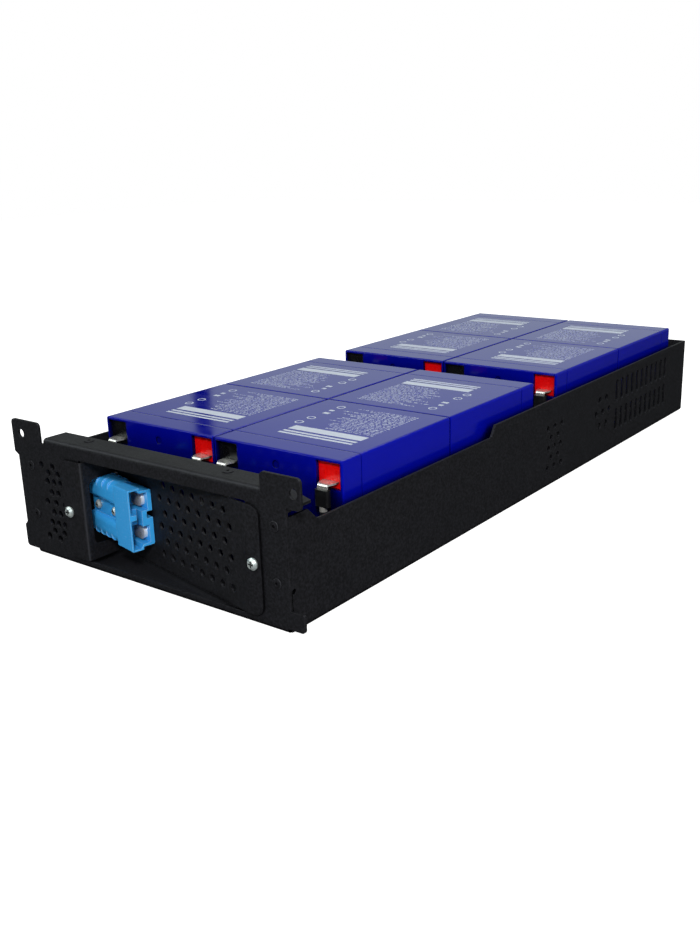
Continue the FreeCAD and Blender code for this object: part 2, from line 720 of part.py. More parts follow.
def make_housing():
    """Genderless two-pole housing: open hood with two sockets, ribbed cable barrels, screw valley."""
    body = new_body("connector_housing", plug_placement())
    half = size("plug_height") / 2
    deep = size("plug_depth")

    # cable end: two barrels with rounded outer corners and the screw valley between them
    drawing = new_sketch(body, "YZ_Plane", "barrel_outline", "-sizes.barrel_length")
    draw_outline(drawing, barrel_section(size("barrel_round")))
    pad(body, drawing, "barrels", "sizes.barrel_length")
    for rib in range(4):
        level = -(size("rib_start") + rib * size("rib_pitch"))
        drawing = new_sketch(body, "YZ_Plane", f"rib_{rib}_outline", f"{level}")
        draw_outline(drawing, barrel_section(size("rib_round")))
        pad(body, drawing, f"rib_{rib}", "sizes.rib_width")

    # hood, lower at its back half so that it fits its mate only one way round
    drawing = new_sketch(body, "YZ_Plane", "hood_outline")
    key = half - size("key_step")
    step = -size("key_depth")
    edge = size("hood_round")
    draw_outline(drawing, [(-deep, -half, edge), (-deep, half, edge), (step, half, 0), (step, key, 0),
                           (0, key, edge), (0, -key, edge), (step, -key, 0), (step, -half, 0)])
    pad(body, drawing, "hood", "sizes.hood_length")

    # sockets, wider in the front half of the hood
    front = -deep + size("hood_wall")
    back = -size("socket_inner")
    outer = half - size("hood_wall")
    inner = key - size("socket_wall")
    low = size("socket_low")
    for side, name in ((-1, "lower"), (1, "upper")):
        drawing = new_sketch(body, "YZ_Plane", f"{name}_socket_outline", "sizes.hood_length + 1")
        outline = [(front, low, 0), (back, low, 0), (back, inner, 0), (step, inner, 0),
                   (step - size("socket_wall"), outer, 0), (front, outer, 0)]
        draw_outline(drawing, [(depth, side * height, 0) for depth, height, _ in outline[::side]])
        pocket(body, drawing, f"{name}_socket", "sizes.socket_depth + 1")
        drawing = new_sketch(body, "YZ_Plane", f"{name}_bore_outline", "1")
        draw_circles(drawing, [(-deep / 2, side * size("barrel_spacing") / 2)], "barrel_bore")
        pocket(body, drawing, f"{name}_bore", "sizes.barrel_length + 2")

    # step between the sockets, with the guide rib on the hood's front wall
    drawing = new_sketch(body, "YZ_Plane", "divider_outline", "sizes.hood_length + 1")
    top = size("guide_offset") + size("guide_width") / 2
    base = size("guide_offset") - size("guide_width") / 2
    reach = front + size("guide_reach")
    step = -size("divider_step")
    draw_outline(drawing, [(front, top, 0), (reach, top, 0), (reach, base, 0), (front, base, 0),
                           (front, -low, 0), (step, -low, 0), (step, low, 0), (front, low, 0)])
    pocket(body, drawing, "divider", "sizes.divider_depth + 1")

    # groove in the back at the mating end, which takes the guide rib of the mate
    drawing = new_sketch(body, "YZ_Plane", "groove_outline", "sizes.hood_length + 1")
    draw_box(drawing, -size("notch_depth"), 1, size("guide_offset") - size("notch_width") / 2,
             size("guide_offset") + size("notch_width") / 2)
    pocket(body, drawing, "groove", "sizes.notch_length + 1")

    drawing = new_sketch(body, "XZ_Plane", "mount_hole_outline", "sizes.web_depth + 1")
    draw_circles(drawing, [(run, 0) for run in plug_screw_runs()], "screw_dia")
    pocket(body, drawing, "mount_holes", "sizes.web_depth + 2")
    nodes.append(body)
    return body


def barrel_section(corner):
    """Section across the cable end for one outer corner radius; the valley is the same in all."""
    half = size("plug_height") / 2
    front = -size("plug_depth") + size("barrel_step")
    valley = size("valley_width") / 2
    web = -size("web_depth")
    blend = size("valley_round")
    return [(0, -half, corner), (0, half, corner), (front, half, corner), (front, valley, blend),
            (web, valley, 0), (web, -valley, 0), (front, -valley, blend), (front, -half, corner)]


def make_contact(name, side):
    """Flat silver-plated tongue with a round nose, seated on its socket's inner wall."""
    body = new_body(f"contact_{name}", plug_placement())
    half = size("contact_width") / 2
    middle = side * size("barrel_spacing") / 2
    drawing = new_sketch(body, "XZ_Plane", f"{name}_tongue_outline", "sizes.socket_inner")
    root = size("hood_length") - size("socket_depth")
    nose = size("hood_length") - size("contact_tip")
    draw_outline(drawing, [(root, middle - half, 0), (nose, middle - half, half * 0.95),
                           (nose, middle + half, half * 0.95), (root, middle + half, 0)])
    pad(body, drawing, f"{name}_tongue", "sizes.contact_gauge")
    nodes.append(body)
    return body


# ---------------------------------------------------------------- batteries

def cell_places():
    """Name, terminal-face placement and side of each battery: rows 1 and 3 face the front."""
    row_faces = [size("front_space"),
                 size("front_space") + BLOCK_LENGTH,
                 REAR_BLOCK,
                 REAR_BLOCK + BLOCK_LENGTH]
    reach = (size("cell_width") + size("pair_gap")) / 2
    places = []
    for row, face in enumerate(row_faces, start=1):
        turn = 0 if row % 2 else 180
        for side, name in ((-1, "left"), (1, "right")):
            base = Vector(BLOCK_SHIFT + side * reach, face, GAUGE)
            places.append((f"{row}_{name}", Placement(base, Rotation(Vector(0, 0, 1), turn))))
    return places


def well_middle(side):
    """Middle of one terminal well on the battery's face; the positive one is at +X."""
    across = size("cell_width") / 2 - size("well_side") - size("well_width") / 2
    height = size("cell_height") - size("well_drop") - size("well_height") / 2
    return side * across, height


def blade_start():
    """Height of the leaf's upper face above the battery's underside."""
    return (size("cell_height") - size("well_drop") - size("well_height")
            + size("leaf_rise") + size("leaf_gauge"))


def make_case(name, place):
    body = new_body(f"battery_case_{name}", place)
    drawing = new_sketch(body, "XZ_Plane", f"case_{name}_outline", "-sizes.lid_length")
    half = size("cell_width") / 2
    draw_box(drawing, -half, half, 0, size("cell_height"), size("cell_corner"))
    pad(body, drawing, f"case_{name}_block", "sizes.cell_length - sizes.lid_length", backwards=True)
    seam = size("lid_length")
    dress(body, "Chamfer", f"case_{name}_seam", lambda point: abs(point.y - seam) < 0.01, "sizes.seam_edge")
    far = size("cell_length")
    dress(body, "Fillet", f"case_{name}_end", lambda point: abs(point.y - far) < 0.01, "sizes.lid_edge")
    nodes.append(body)


def make_lid(name, place):
    """Lid with two square terminal wells and the mark of its filling port."""
    body = new_body(f"battery_lid_{name}", place)
    drawing = new_sketch(body, "XZ_Plane", f"lid_{name}_outline")
    half = size("cell_width") / 2
    draw_box(drawing, -half, half, 0, size("cell_height"), size("cell_corner"))
    pad(body, drawing, f"lid_{name}_block", "sizes.lid_length", backwards=True)
    dress(body, "Fillet", f"lid_{name}_edge", lambda point: abs(point.y) < 0.01, "sizes.lid_edge")
    seam = size("lid_length")
    dress(body, "Chamfer", f"lid_{name}_seam", lambda point: abs(point.y - seam) < 0.01, "sizes.seam_edge")
    drawing = new_sketch(body, "XZ_Plane", f"lid_{name}_well_outline", "1")
    for side in (-1, 1):
        across, height = well_middle(side)
        draw_box(drawing, across - size("well_width") / 2, across + size("well_width") / 2,
                 height - size("well_height") / 2, height + size("well_height") / 2)
    pocket(body, drawing, f"lid_{name}_wells", "sizes.well_depth + 1")
    drawing = new_sketch(body, "XZ_Plane", f"lid_{name}_dimple_outline", "1")
    draw_circles(drawing, [(0, size("cell_height") - size("dimple_drop"))], "dimple_dia")
    pocket(body, drawing, f"lid_{name}_dimple", "sizes.dimple_depth + 1")
    nodes.append(body)


def make_well(name, place, pole, side):
    """Coloured potting that fills the bottom of one terminal well."""
    body = new_body(f"{pole}_well_{name}", place)
    drawing = new_sketch(body, "XZ_Plane", f"{pole}_{name}_outline", "-(sizes.well_depth - sizes.well_floor)")
    across, height = well_middle(side)
    wide = size("well_width") / 2 - size("well_play")
    tall = size("well_height") / 2 - size("well_play")
    draw_box(drawing, across - wide, across + wide, height - tall, height + tall)
    pad(body, drawing, f"{pole}_{name}_potting", "sizes.well_floor", backwards=True)
    nodes.append(body)


def make_blades(name, place):
    """The battery's two tab terminals: a leaf out of the potting, bent down into a blade."""
    body = new_body(f"battery_tabs_{name}", place)
    top = blade_start()
    gauge = size("leaf_gauge")
    root = size("well_depth") - size("well_floor")
    reach = size("leaf_reach") + gauge / 2
    for side, pole in ((-1, "negative"), (1, "positive")):
        across, _ = well_middle(side)
        drawing = new_sketch(body, "YZ_Plane", f"{pole}_{name}_fold", f"{across}")
        path = [(-reach, top - size("blade_drop")), (-reach, top), (root, top)]
        draw_outline(drawing, strip_outline(path[::-1], gauge, size("leaf_bend")))
        pad(body, drawing, f"{pole}_{name}_leaf", "sizes.leaf_root", both_ways=True)
        drawing = new_sketch(body, "XY_Plane", f"{pole}_{name}_taper", f"{top + 1}")
        for edge in (-1, 1):
            wide, front, blade = (across + edge * size(alias) / 2
                                  for alias in ("leaf_root", "leaf_front", "blade_width"))
            clear = across + edge * size("leaf_root")
            bend = -reach + gauge + size("leaf_bend")
            draw_outline(drawing, [(wide, 0, 0), (front, bend, 0), (blade, bend - 0.8, 0),
                                   (blade, -reach - 1, 0), (clear, -reach - 1, 0), (clear, 0, 0)])
        pocket(body, drawing, f"{pole}_{name}_trim", "sizes.blade_drop + 2")
    nodes.append(body)


def terminal_placements():
    """Placements on the leaf's upper face, over the blade, of all sixteen terminals."""
    return [place.multiply(Placement(Vector(well_middle(side)[0], -size("leaf_reach"), blade_start()),
                                     Rotation()))
            for name, place in cell_places() for side in (-1, 1)]


def make_sleeves():
    """Insulating sleeves pushed over the blades from below."""
    body = new_body("sleeve_pattern")
    top = -size("sleeve_start")
    drawing = new_sketch(body, "XY_Plane", "sleeve_outline", "-sizes.sleeve_start - sizes.sleeve_height")
    half = size("sleeve_width") / 2
    deep = size("sleeve_depth") / 2
    draw_box(drawing, -half, half, -deep, deep, size("sleeve_round"))
    pad(body, drawing, "sleeve_block", "sizes.sleeve_height")
    drawing = new_sketch(body, "XY_Plane", "slot_in_sleeve_outline", "1 - sizes.sleeve_start")
    play = size("blade_play")
    draw_box(drawing, -size("blade_width") / 2 - play, size("blade_width") / 2 + play,
             -size("leaf_gauge") / 2 - play, size("leaf_gauge") / 2 + play)
    pocket(body, drawing, "slot_in_sleeve", "1 + sizes.blade_drop - sizes.sleeve_start + 0.2")
    group("terminal_sleeves", body, terminal_placements())


def make_crimps():
    """Crimp barrels below the sleeves, where the leads enter."""
    body = new_body("crimp_pattern")
    low = "-sizes.sleeve_start - sizes.sleeve_height - sizes.crimp_length"
    drawing = new_sketch(body, "XY_Plane", "crimp_outline", low)
    draw_circles(drawing, [(0, 0)], "crimp_dia")
    pad(body, drawing, "crimp_barrel", "sizes.crimp_length")
    group("terminal_crimps", body, terminal_placements())


# ---------------------------------------------------------------- screws and rivets

def make_fastener(name, head, rise, shank, length, drive):
    """Domed head on a plain shank, along Z with the seat of the head at zero."""
    body = new_body(f"{name}_pattern")
    drawing = new_sketch(body, "XZ_Plane", f"{name}_profile")
    outline = [(0, -length, 0), (shank / 2, -length, 0), (shank / 2, 0, 0), (head / 2, 0, 0),
               (head / 2, rise * 0.45, 0), (head / 2 - rise * 0.55, rise, 0), (0, rise, 0)]
    draw_outline(drawing, outline)
    revolve(body, drawing, f"{name}_turned")
    drawing = new_sketch(body, "XY_Plane", f"{name}_drive", f"{rise + 1}")
    if drive == "cross":
        arm, slot = head * 0.27, head * 0.07
        draw_outline(drawing, [(arm, -slot, 0), (arm, slot, 0), (slot, slot, 0), (slot, arm, 0),
                               (-slot, arm, 0), (-slot, slot, 0), (-arm, slot, 0), (-arm, -slot, 0),
                               (-slot, -slot, 0), (-slot, -arm, 0), (slot, -arm, 0), (slot, -slot, 0)])
        pocket(body, drawing, f"{name}_recess", f"{1 + rise * 0.6}")
    else:
        drawing.addGeometry(Part.Circle(Vector(), Vector(0, 0, 1), shank * 0.28), False)
        pocket(body, drawing, f"{name}_recess", f"{1 + rise * 0.9}")
    return body


FACING_FRONT = Rotation(Vector(1, 0, 0), 90)


def make_fasteners():
    shank = size("screw_dia") - 2 * size("screw_play")
    screw = make_fastener("panel_screw", size("screw_head"), size("screw_rise"), shank,
                          size("screw_length"), "cross")
    group("panel_screws", screw, [Placement(Vector(x, -size("panel_gauge"), z), FACING_FRONT)
                                  for x, z in panel_screw_centres()])
    plug_screw = make_fastener("plug_screw", size("plug_screw_head"), size("screw_rise"), shank,
                               size("web_depth") + size("screw_length") / 2, "cross")
    seat = plug_placement()
    group("connector_screws", plug_screw,
          [seat.multiply(Placement(Vector(run, -size("web_depth"), 0), FACING_FRONT))
           for run in plug_screw_runs()])
    pin = size("rivet_dia") - 2 * size("rivet_play")
    rivet = make_fastener("rivet", size("rivet_head"), size("rivet_rise"), pin, 2 * GAUGE + 0.8, "hole")
    group("plate_rivets", rivet, [Placement(Vector(x, 0, z), FACING_FRONT)
                                  for x, z in plate_rivet_centres()])
    group("flange_rivets", rivet, [Placement(Vector(x, y, FLANGE_TOP), Rotation())
                                   for x, y in flange_rivet_centres()])


# ---------------------------------------------------------------- harness

def make_lead(label, points, radius_share=0.45):
    """A lead along straight runs joined by tangent arcs."""
    edges = []
    start = points[0]
    for before, corner, after in zip(points, points[1:], points[2:]):
        run = min(before.distanceToPoint(corner), corner.distanceToPoint(after))
        half_turn = (math.pi - (before - corner).getAngle(after - corner)) / 2
        radius = radius_share * run / math.tan(half_turn)
        first, middle, last = corner_arc(before, corner, after, radius)
        edges.append(Part.makeLine(start, first))
        edges.append(Part.Arc(first, middle, last).toShape())
        start = last
    edges.append(Part.makeLine(start, points[-1]))
    path = Part.Wire(edges)
    section = Part.Wire([Part.makeCircle(size("lead_dia") / 2, points[0], points[1] - points[0])])
    tube = path.makePipeShell([section], True, False)
    length = path.Length
    expected = length * math.pi * size("lead_dia") ** 2 / 4
    if abs(tube.Volume / expected - 1) > 0.01:
        raise RuntimeError(f"{label} has a wrong volume")
    print(f"{label}: {length:.0f} mm long")
    return tube


def lead_node(label, tubes):
    item = doc.addObject("Part::Feature", label)
    item.Label = label
    item.Shape = tubes[0] if len(tubes) == 1 else Part.makeCompound(tubes)
    item.Placement = DATUM
    nodes.append(item)


def crimp_mouth(cell, side):
    """Point under a terminal's crimp barrel where its lead starts."""
    place = dict(cell_places())[cell]
    drop = size("sleeve_start") + size("sleeve_height") + size("crimp_length")
    return place.multVec(Vector(well_middle(side)[0], -size("leaf_reach"), blade_start() - drop))


def make_harness():
    """All eight batteries in series, from the connector's upper to its lower contact."""
    low = Vector(0, 0, -1)
    right_gap = HALF_WIDTH - GAUGE - size("right_space") / 2
    left_gap = -HALF_WIDTH + GAUGE + size("left_space") / 2

    # short links between the two batteries of a row, and across the middle space
    links = []
    for row in range(1, 5):
        ends = [crimp_mouth(f"{row}_left", 1 if row % 2 else -1),
                crimp_mouth(f"{row}_right", -1 if row % 2 else 1)]
        drop = ends[0].distanceToPoint(ends[1]) * 0.75
        links.append(make_lead(f"row_{row}_link", [ends[0], ends[0] + low * drop,
                                                   ends[1] + low * drop, ends[1]]))
    lead_node("row_links", links)
    ends = [crimp_mouth("2_left", 1), crimp_mouth("3_left", -1)]
    drop = ends[0].distanceToPoint(ends[1]) * 0.7
    lead_node("middle_link", [make_lead("middle_link", [ends[0], ends[0] + low * drop,
                                                        ends[1] + low * drop, ends[1]])])

    # leads along the right wall from row 1 to row 2 and from row 3 to row 4
    for name, ends in (("front_side_lead", (crimp_mouth("1_right", 1), crimp_mouth("2_right", -1))),
                       ("rear_side_lead", (crimp_mouth("3_right", 1), crimp_mouth("4_right", -1)))):
        knees = [Vector(end.x, end.y, size("side_lead_knee")) for end in ends]
        turns = [Vector(right_gap, end.y, size("side_lead_height")) for end in ends]
        lead_node(name, [make_lead(name, [ends[0], knees[0], turns[0], turns[1], knees[1], ends[1]])])

    # main leads from the connector
    seat = plug_placement()
    for name, side, cell, pole in (("positive_lead", -1, "4_left", 1), ("negative_lead", 1, "1_left", -1)):
        barrel = Vector(-size("barrel_length") + size("lead_insert"), -size("plug_depth") / 2,
                        side * size("barrel_spacing") / 2)
        out = Vector(-size("barrel_length") - size("lead_exit"), barrel.y, barrel.z)
        start, leave = seat.multVec(barrel), seat.multVec(out)
        mouth = crimp_mouth(cell, pole)
        if name == "negative_lead":
            route = [Vector(mouth.x, mouth.y, size("side_lead_height"))]
        else:
            run_height = size("main_lead_height")
            route = [Vector(left_gap, size("front_space"), run_height),
                     Vector(left_gap, mouth.y, run_height),
                     Vector(mouth.x, mouth.y, size("side_lead_height"))]
        lead_node(name, [make_lead(name, [start, leave] + route + [mouth])])


# ---------------------------------------------------------------- assembly

make_tray()
make_connector_panel()
make_housing()
make_contact("upper", 1)
make_contact("lower", -1)
for cell, place in cell_places():
    make_case(cell, place)
    make_lid(cell, place)
    make_well(cell, place, "negative", -1)
    make_well(cell, place, "positive", 1)
    make_blades(cell, place)
make_sleeves()
make_crimps()
make_fasteners()
make_harness()

doc.recompute()
for item in doc.Objects:
    if "Invalid" in item.State or "Error" in item.State:
        raise RuntimeError(f"{item.Label} did not build")
os.makedirs("parts", exist_ok=True)
for node in nodes:
    if node.Shape.isNull() or not node.Shape.isValid():
        raise RuntimeError(f"{node.Label} has no valid shape")
    node.Shape.exportStep(f"parts/{node.Label}.step")
print(f"{len(nodes)} nodes written")
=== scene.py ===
import math
import random

import bpy
from mathutils import Matrix, Vector


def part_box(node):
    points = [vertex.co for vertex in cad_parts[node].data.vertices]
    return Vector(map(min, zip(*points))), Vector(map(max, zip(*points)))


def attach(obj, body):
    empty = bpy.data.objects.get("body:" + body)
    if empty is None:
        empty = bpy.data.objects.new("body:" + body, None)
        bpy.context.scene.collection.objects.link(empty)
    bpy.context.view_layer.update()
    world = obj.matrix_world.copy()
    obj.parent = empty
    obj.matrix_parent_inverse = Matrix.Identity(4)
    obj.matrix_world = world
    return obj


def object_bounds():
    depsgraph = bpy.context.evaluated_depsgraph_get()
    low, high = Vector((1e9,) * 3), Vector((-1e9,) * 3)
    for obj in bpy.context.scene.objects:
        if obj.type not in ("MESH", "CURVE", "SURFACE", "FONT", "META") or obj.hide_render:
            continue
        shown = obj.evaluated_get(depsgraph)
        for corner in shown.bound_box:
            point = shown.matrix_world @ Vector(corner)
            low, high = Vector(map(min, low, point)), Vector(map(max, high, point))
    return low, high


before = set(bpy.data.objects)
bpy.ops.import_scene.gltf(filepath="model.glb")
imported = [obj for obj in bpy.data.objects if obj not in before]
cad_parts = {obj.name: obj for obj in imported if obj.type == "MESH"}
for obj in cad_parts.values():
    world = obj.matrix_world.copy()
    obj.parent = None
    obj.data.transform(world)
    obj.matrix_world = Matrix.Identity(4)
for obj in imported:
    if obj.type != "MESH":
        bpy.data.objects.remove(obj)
CAD_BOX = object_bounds()

bl_info = {
    "name": "Battery Cartridge Finish",
    "version": (1, 0, 0),
    "blender": (4, 5, 0),
    "location": "3D View > Sidebar > Cartridge",
    "description": "Gives a rack battery cartridge its finishes, its battery print and a studio stage",
    "category": "Object",
}

MM = 0.001
WHITE = (1.0, 1.0, 1.0, 1.0)

# The batteries, by row from the front and by side. Rows 2 and 4 have their terminals at the back.
CELLS = [f"{row}_{side}" for row in range(1, 5) for side in ("left", "right")]
ROWS_TURNED = "24"

# Layout of the print on a battery, in millimetres from the middle of its terminal edge.
BAR_MIDDLE, BAR_ALONG, RULES_ALONG = 4.7, 39.0, (27.6, 31.6)
RINGS_ACROSS, RINGS_ALONG, RING_BREADTH = -24.5, (49.5, 60.5, 89.0), 0.8
BLOCKS = ((-23.6, 73.5, 4.4, 3.0), (-24.6, 80.0, 3.2, 2.6))  # across, along, width, height
ROWS, FIRST_ROW, ROW_LENGTH = 18, 46.5, (26, 46)
WORD_LENGTH, WORD_GAP = (1.4, 5.5), 0.8
BOLD_INK, FINE_INK = 0.03, 0.02  # thickness

# Ink lies where a noise is below its cover: all over the bold print, on about half of the small print.
BOLD_COVER, FINE_COVER = 0.9, 0.52

# Softboxes: name, place and size in metres, and the stage's setting for their power.
SOFTBOXES = (
    ("overhead_softbox", (-0.1, 0.7, 1.3), (1.0, 1.0), "overhead"),
    ("side_softbox", (1.4, -0.5, 0.75), (1.6, 1.2), "side"),
    ("front_softbox", (0.85, -1.15, 0.95), (0.22, 0.2), "front"),
)
LIGHT_AIM = Vector((0.0, 0.0, 0.04))
FLOOR_GAP = 0.0002  # below the feet, so that the two don't flicker

# What the glossy cartridge mirrors: where each part of the room lies, as seen from the cartridge.
BACKDROP_WAY = (-0.55, 0.75, 0.35)  # white, behind at the left
CEILING_WAY = (0.3, -0.5, 0.81)  # light, above and a little in front
WINDOW_WAY = (-0.6, -0.5, 0.62)  # small and bright, high in front at the left
BRIGHT_WAY = (-0.5, 0.866, 0.0)  # level, to the brightest stretch: the room is dimmer away from it
STAND_ACROSS = (0.6934, 0.7206, 0.0)  # square to a thin, dark lamp stand
COOL_WHITE = (0.9, 1.0, 0.96, 1.0)  # the room's light, as the cartridge gets it

CAMERA_PLACE = (0.39983, -0.59303, 0.22361)
CAMERA_RIGHT = (0.79476, 0.60612, -0.03116)
CAMERA_AHEAD = (-0.58658, 0.75392, -0.29584)
CAMERA_LENS, CAMERA_SENSOR = 39.87, 36.0  # millimetres


# ---------------------------------------------------------------- properties

def linear(code):
    """An sRGB hex code as a linear colour with full alpha."""
    channels = [int(code[start:start + 2], 16) / 255 for start in (1, 3, 5)]
    return tuple(channel / 12.92 if channel <= 0.04045 else ((channel + 0.055) / 1.055) ** 2.4
                 for channel in channels) + (1.0,)


def colour_property(name, description, code):
    """A finish's colour, given as an sRGB hex code."""
    return bpy.props.FloatVectorProperty(
        name=name, description=description, subtype="COLOR", size=4, min=0.0, max=1.0,
        default=linear(code))


def length_property(name, description, millimetres):
    """A length that is given in millimetres and kept in metres."""
    return bpy.props.FloatProperty(
        name=name, description=description, default=millimetres * MM, min=0.0,
        subtype="DISTANCE", unit="LENGTH", precision=5)


def power_property(name, description, watts):
    """A lamp's power."""
    return bpy.props.FloatProperty(
        name=name, description=description, default=watts, min=0.0, subtype="POWER", unit="POWER")


class CartridgeColours(bpy.types.PropertyGroup):
    """Colours of the cartridge's finishes."""
    coat: colour_property("Powder coat", "Colour of the tray and its connector panel", "#18181C")
    case: colour_property("Battery case", "Colour of the battery cases and lids", "#040DA6")
    plug: colour_property("Connector", "Colour of the power connector's housing", "#40B3FF")
    positive: colour_property("Positive resin", "Resin round the positive terminals", "#F80A08")
    negative: colour_property("Negative resin", "Resin round the negative terminals", "#0B0B0D")
    ink: colour_property("Print", "Ink printed on the battery cases", "#E6EFFF")
    lead_red: colour_property("Positive lead", "Insulation of the positive main lead", "#A01014")
    lead_black: colour_property("Other leads", "Insulation of all other leads", "#131315")


class CartridgePrint(bpy.types.PropertyGroup):
    """Sizes of the plain print on each battery."""
    length: length_property("Bar length", "Length of the broad bar", 51.5)
    height: length_property("Bar height", "Height of the broad bar", 7.4)
    rule: length_property("Rule height", "Height of the two rules beside the bar", 2.2)
    pitch: length_property("Line pitch", "Distance from one row of dashes to the next", 2.6)
    dash: length_property("Dash height", "Height of the dashes in the rows", 1.2)
    ring: length_property("Ring radius", "Outer radius of the ring marks", 2.8)


class CartridgeStage(bpy.types.PropertyGroup):
    """Studio lights and the floor."""
    overhead: power_property("Overhead light", "Power of the large softbox above", 5.5)
    side: power_property("Side light", "Power of the softbox at the right", 5.0)
    front: power_property("Front light", "Power of the softbox in front", 15.0)
    fill: bpy.props.FloatProperty(
        name="Fill", description="Strength of the even light from all round", default=0.11, min=0.0)
    floor: length_property("Floor size", "Edge length of the floor", 6000.0)


# ---------------------------------------------------------------- materials

# A Mix node's sockets for colours, by number, because those of its other modes have the same names.
FACTOR, FIRST, SECOND, MIXED = 0, 6, 7, 2

# Most values of a noise lie between these two, so a finish varies over its whole range.
NOISE_LOW, NOISE_HIGH = 0.3, 0.7


def add_node(tree, kind, inputs=None, **settings):
    """Adds one node with its own settings. Its inputs are values, or output sockets to link from."""
    node = tree.nodes.new(kind)
    for name, value in settings.items():
        setattr(node, name, value)
    for name, value in (inputs or {}).items():
        if isinstance(value, bpy.types.NodeSocket):
            tree.links.new(value, node.inputs[name])
        else:
            node.inputs[name].default_value = value
    return node


def new_material(name):
    """An empty material with its node tree and the piece's own coordinates."""
    material = bpy.data.materials.new(name)
    material.use_nodes = True
    tree = material.node_tree
    tree.nodes.clear()
    place = add_node(tree, "ShaderNodeTexCoord").outputs["Object"]
    return material, tree, place


def set_surface(tree, inputs):
    """Gives a material its surface from values and sockets."""
    surface = add_node(tree, "ShaderNodeBsdfPrincipled", inputs).outputs["BSDF"]
    add_node(tree, "ShaderNodeOutputMaterial", {"Surface": surface})


def noise_scale(millimetres):
    """Scale of a noise whose blotches are about the given size."""
    return 0.5 / (millimetres * MM)


def span(from_low, from_high, to_low, to_high):
    """What a Map Range node reads and gives at its two ends."""
    return {"From Min": from_low, "From Max": from_high, "To Min": to_low, "To Max": to_high}


def noise_span(low, high):
    """What a Map Range node needs to turn a noise into the given range."""
    return span(NOISE_LOW, NOISE_HIGH, low, high)


def shade(colour, factor):
    """A linear colour made darker or lighter."""
    return tuple(channel * factor for channel in colour[:3]) + (1.0,)


def openness(tree, millimetres, hemmed, clear, **settings):
    """1 where a surface is open to the room, 0 where others within the given distance hem it in."""
    around = add_node(tree, "ShaderNodeAmbientOcclusion", {"Distance": millimetres * MM}, samples=8,
                      **settings).outputs["AO"]
    return add_node(tree, "ShaderNodeMapRange",
                    {"Value": around, **span(hemmed, clear, 0.0, 1.0)}).outputs["Result"]


def flatness(tree, normal):
    """1 where a surface lies square to the piece's axes, less where it turns round an edge."""
    upright = add_node(tree, "ShaderNodeVectorMath", {0: normal}, operation="ABSOLUTE").outputs["Vector"]
    parts = add_node(tree, "ShaderNodeSeparateXYZ", {"Vector": upright}).outputs
    level = add_node(tree, "ShaderNodeMath", {0: parts["X"], 1: parts["Y"]},
                     operation="MAXIMUM").outputs["Value"]
    return add_node(tree, "ShaderNodeMath", {0: level, 1: parts["Z"]},
                    operation="MAXIMUM").outputs["Value"]


def textured_powder_coat(colour):
    """Polyester powder coat, sprayed and baked with a sand texture.

    To the eye a matt black that breaks light into specks. Painted shade makes it near black in gaps and
    holes, and a painted highlight makes it a little paler on folded edges, where the coat also runs thin.
    """
    # The real texture's grains are about 0.2 mm wide. They are drawn 0.5 and 0.7 mm wide, to show.
    material, tree, place = new_material("textured_powder_coat")
    fine = add_node(tree, "ShaderNodeTexNoise",
                    {"Vector": place, "Scale": noise_scale(0.5), "Detail": 3.0,
                     "Roughness": 0.6}).outputs["Fac"]
    coarse = add_node(tree, "ShaderNodeTexNoise",
                      {"Vector": place, "Scale": noise_scale(0.7), "Detail": 2.0,
                       "Roughness": 0.6}).outputs["Fac"]
    broad = add_node(tree, "ShaderNodeTexNoise",
                     {"Vector": place, "Scale": noise_scale(14.0), "Detail": 3.0,
                      "Roughness": 0.5}).outputs["Fac"]
    edge = add_node(tree, "ShaderNodeBevel", {"Radius": 0.4 * MM}, samples=4).outputs["Normal"]
    # Painted shade: this mask falls where other surfaces within 6 mm hem the coat in.
    light = openness(tree, 6.0, 0.4, 0.85)
    specks = add_node(tree, "ShaderNodeMapRange",
                      {"Value": coarse, **span(0.38, 0.66, 0.0, 1.0)}).outputs["Result"]
    face = add_node(tree, "ShaderNodeMix",
                    {FACTOR: specks, FIRST: shade(colour, 0.6), SECOND: shade(colour, 1.6)},
                    data_type="RGBA").outputs[MIXED]
    # Painted highlight on folded edges, paler where the bevelled normal turns; it also stands for the coat
    # running thin there.
    thin = add_node(tree, "ShaderNodeMapRange",
                    {"Value": flatness(tree, edge), **span(0.76, 0.9, 0.6, 0.0)}).outputs["Result"]
    thin_coat_and_highlight = add_node(tree, "ShaderNodeMix", {FACTOR: thin, FIRST: face, SECOND: linear("#38393E")},
                    data_type="RGBA").outputs[MIXED]
    # Painted shade: the coat's colour goes near black where that mask is low.
    coat = add_node(tree, "ShaderNodeMix", {FACTOR: light, FIRST: shade(colour, 0.05), SECOND: thin_coat_and_highlight},
                    data_type="RGBA").outputs[MIXED]
    # Painted shade on the reflection as well: weaker in gaps and holes.
    gloss = add_node(tree, "ShaderNodeMapRange",
                     {"Value": light, **span(0.0, 1.0, 0.02, 0.21)}).outputs["Result"]
    rough = add_node(tree, "ShaderNodeMapRange", {"Value": broad, **noise_span(0.56, 0.66)}).outputs["Result"]
    sand = add_node(tree, "ShaderNodeBump",
                    {"Height": fine, "Distance": 0.16 * MM, "Strength": 0.7,
                     "Normal": edge}).outputs["Normal"]
    set_surface(tree, {"Base Color": coat, "Specular IOR Level": gloss, "Roughness": rough, "Normal": sand,
                       "IOR": 1.5})
    return material


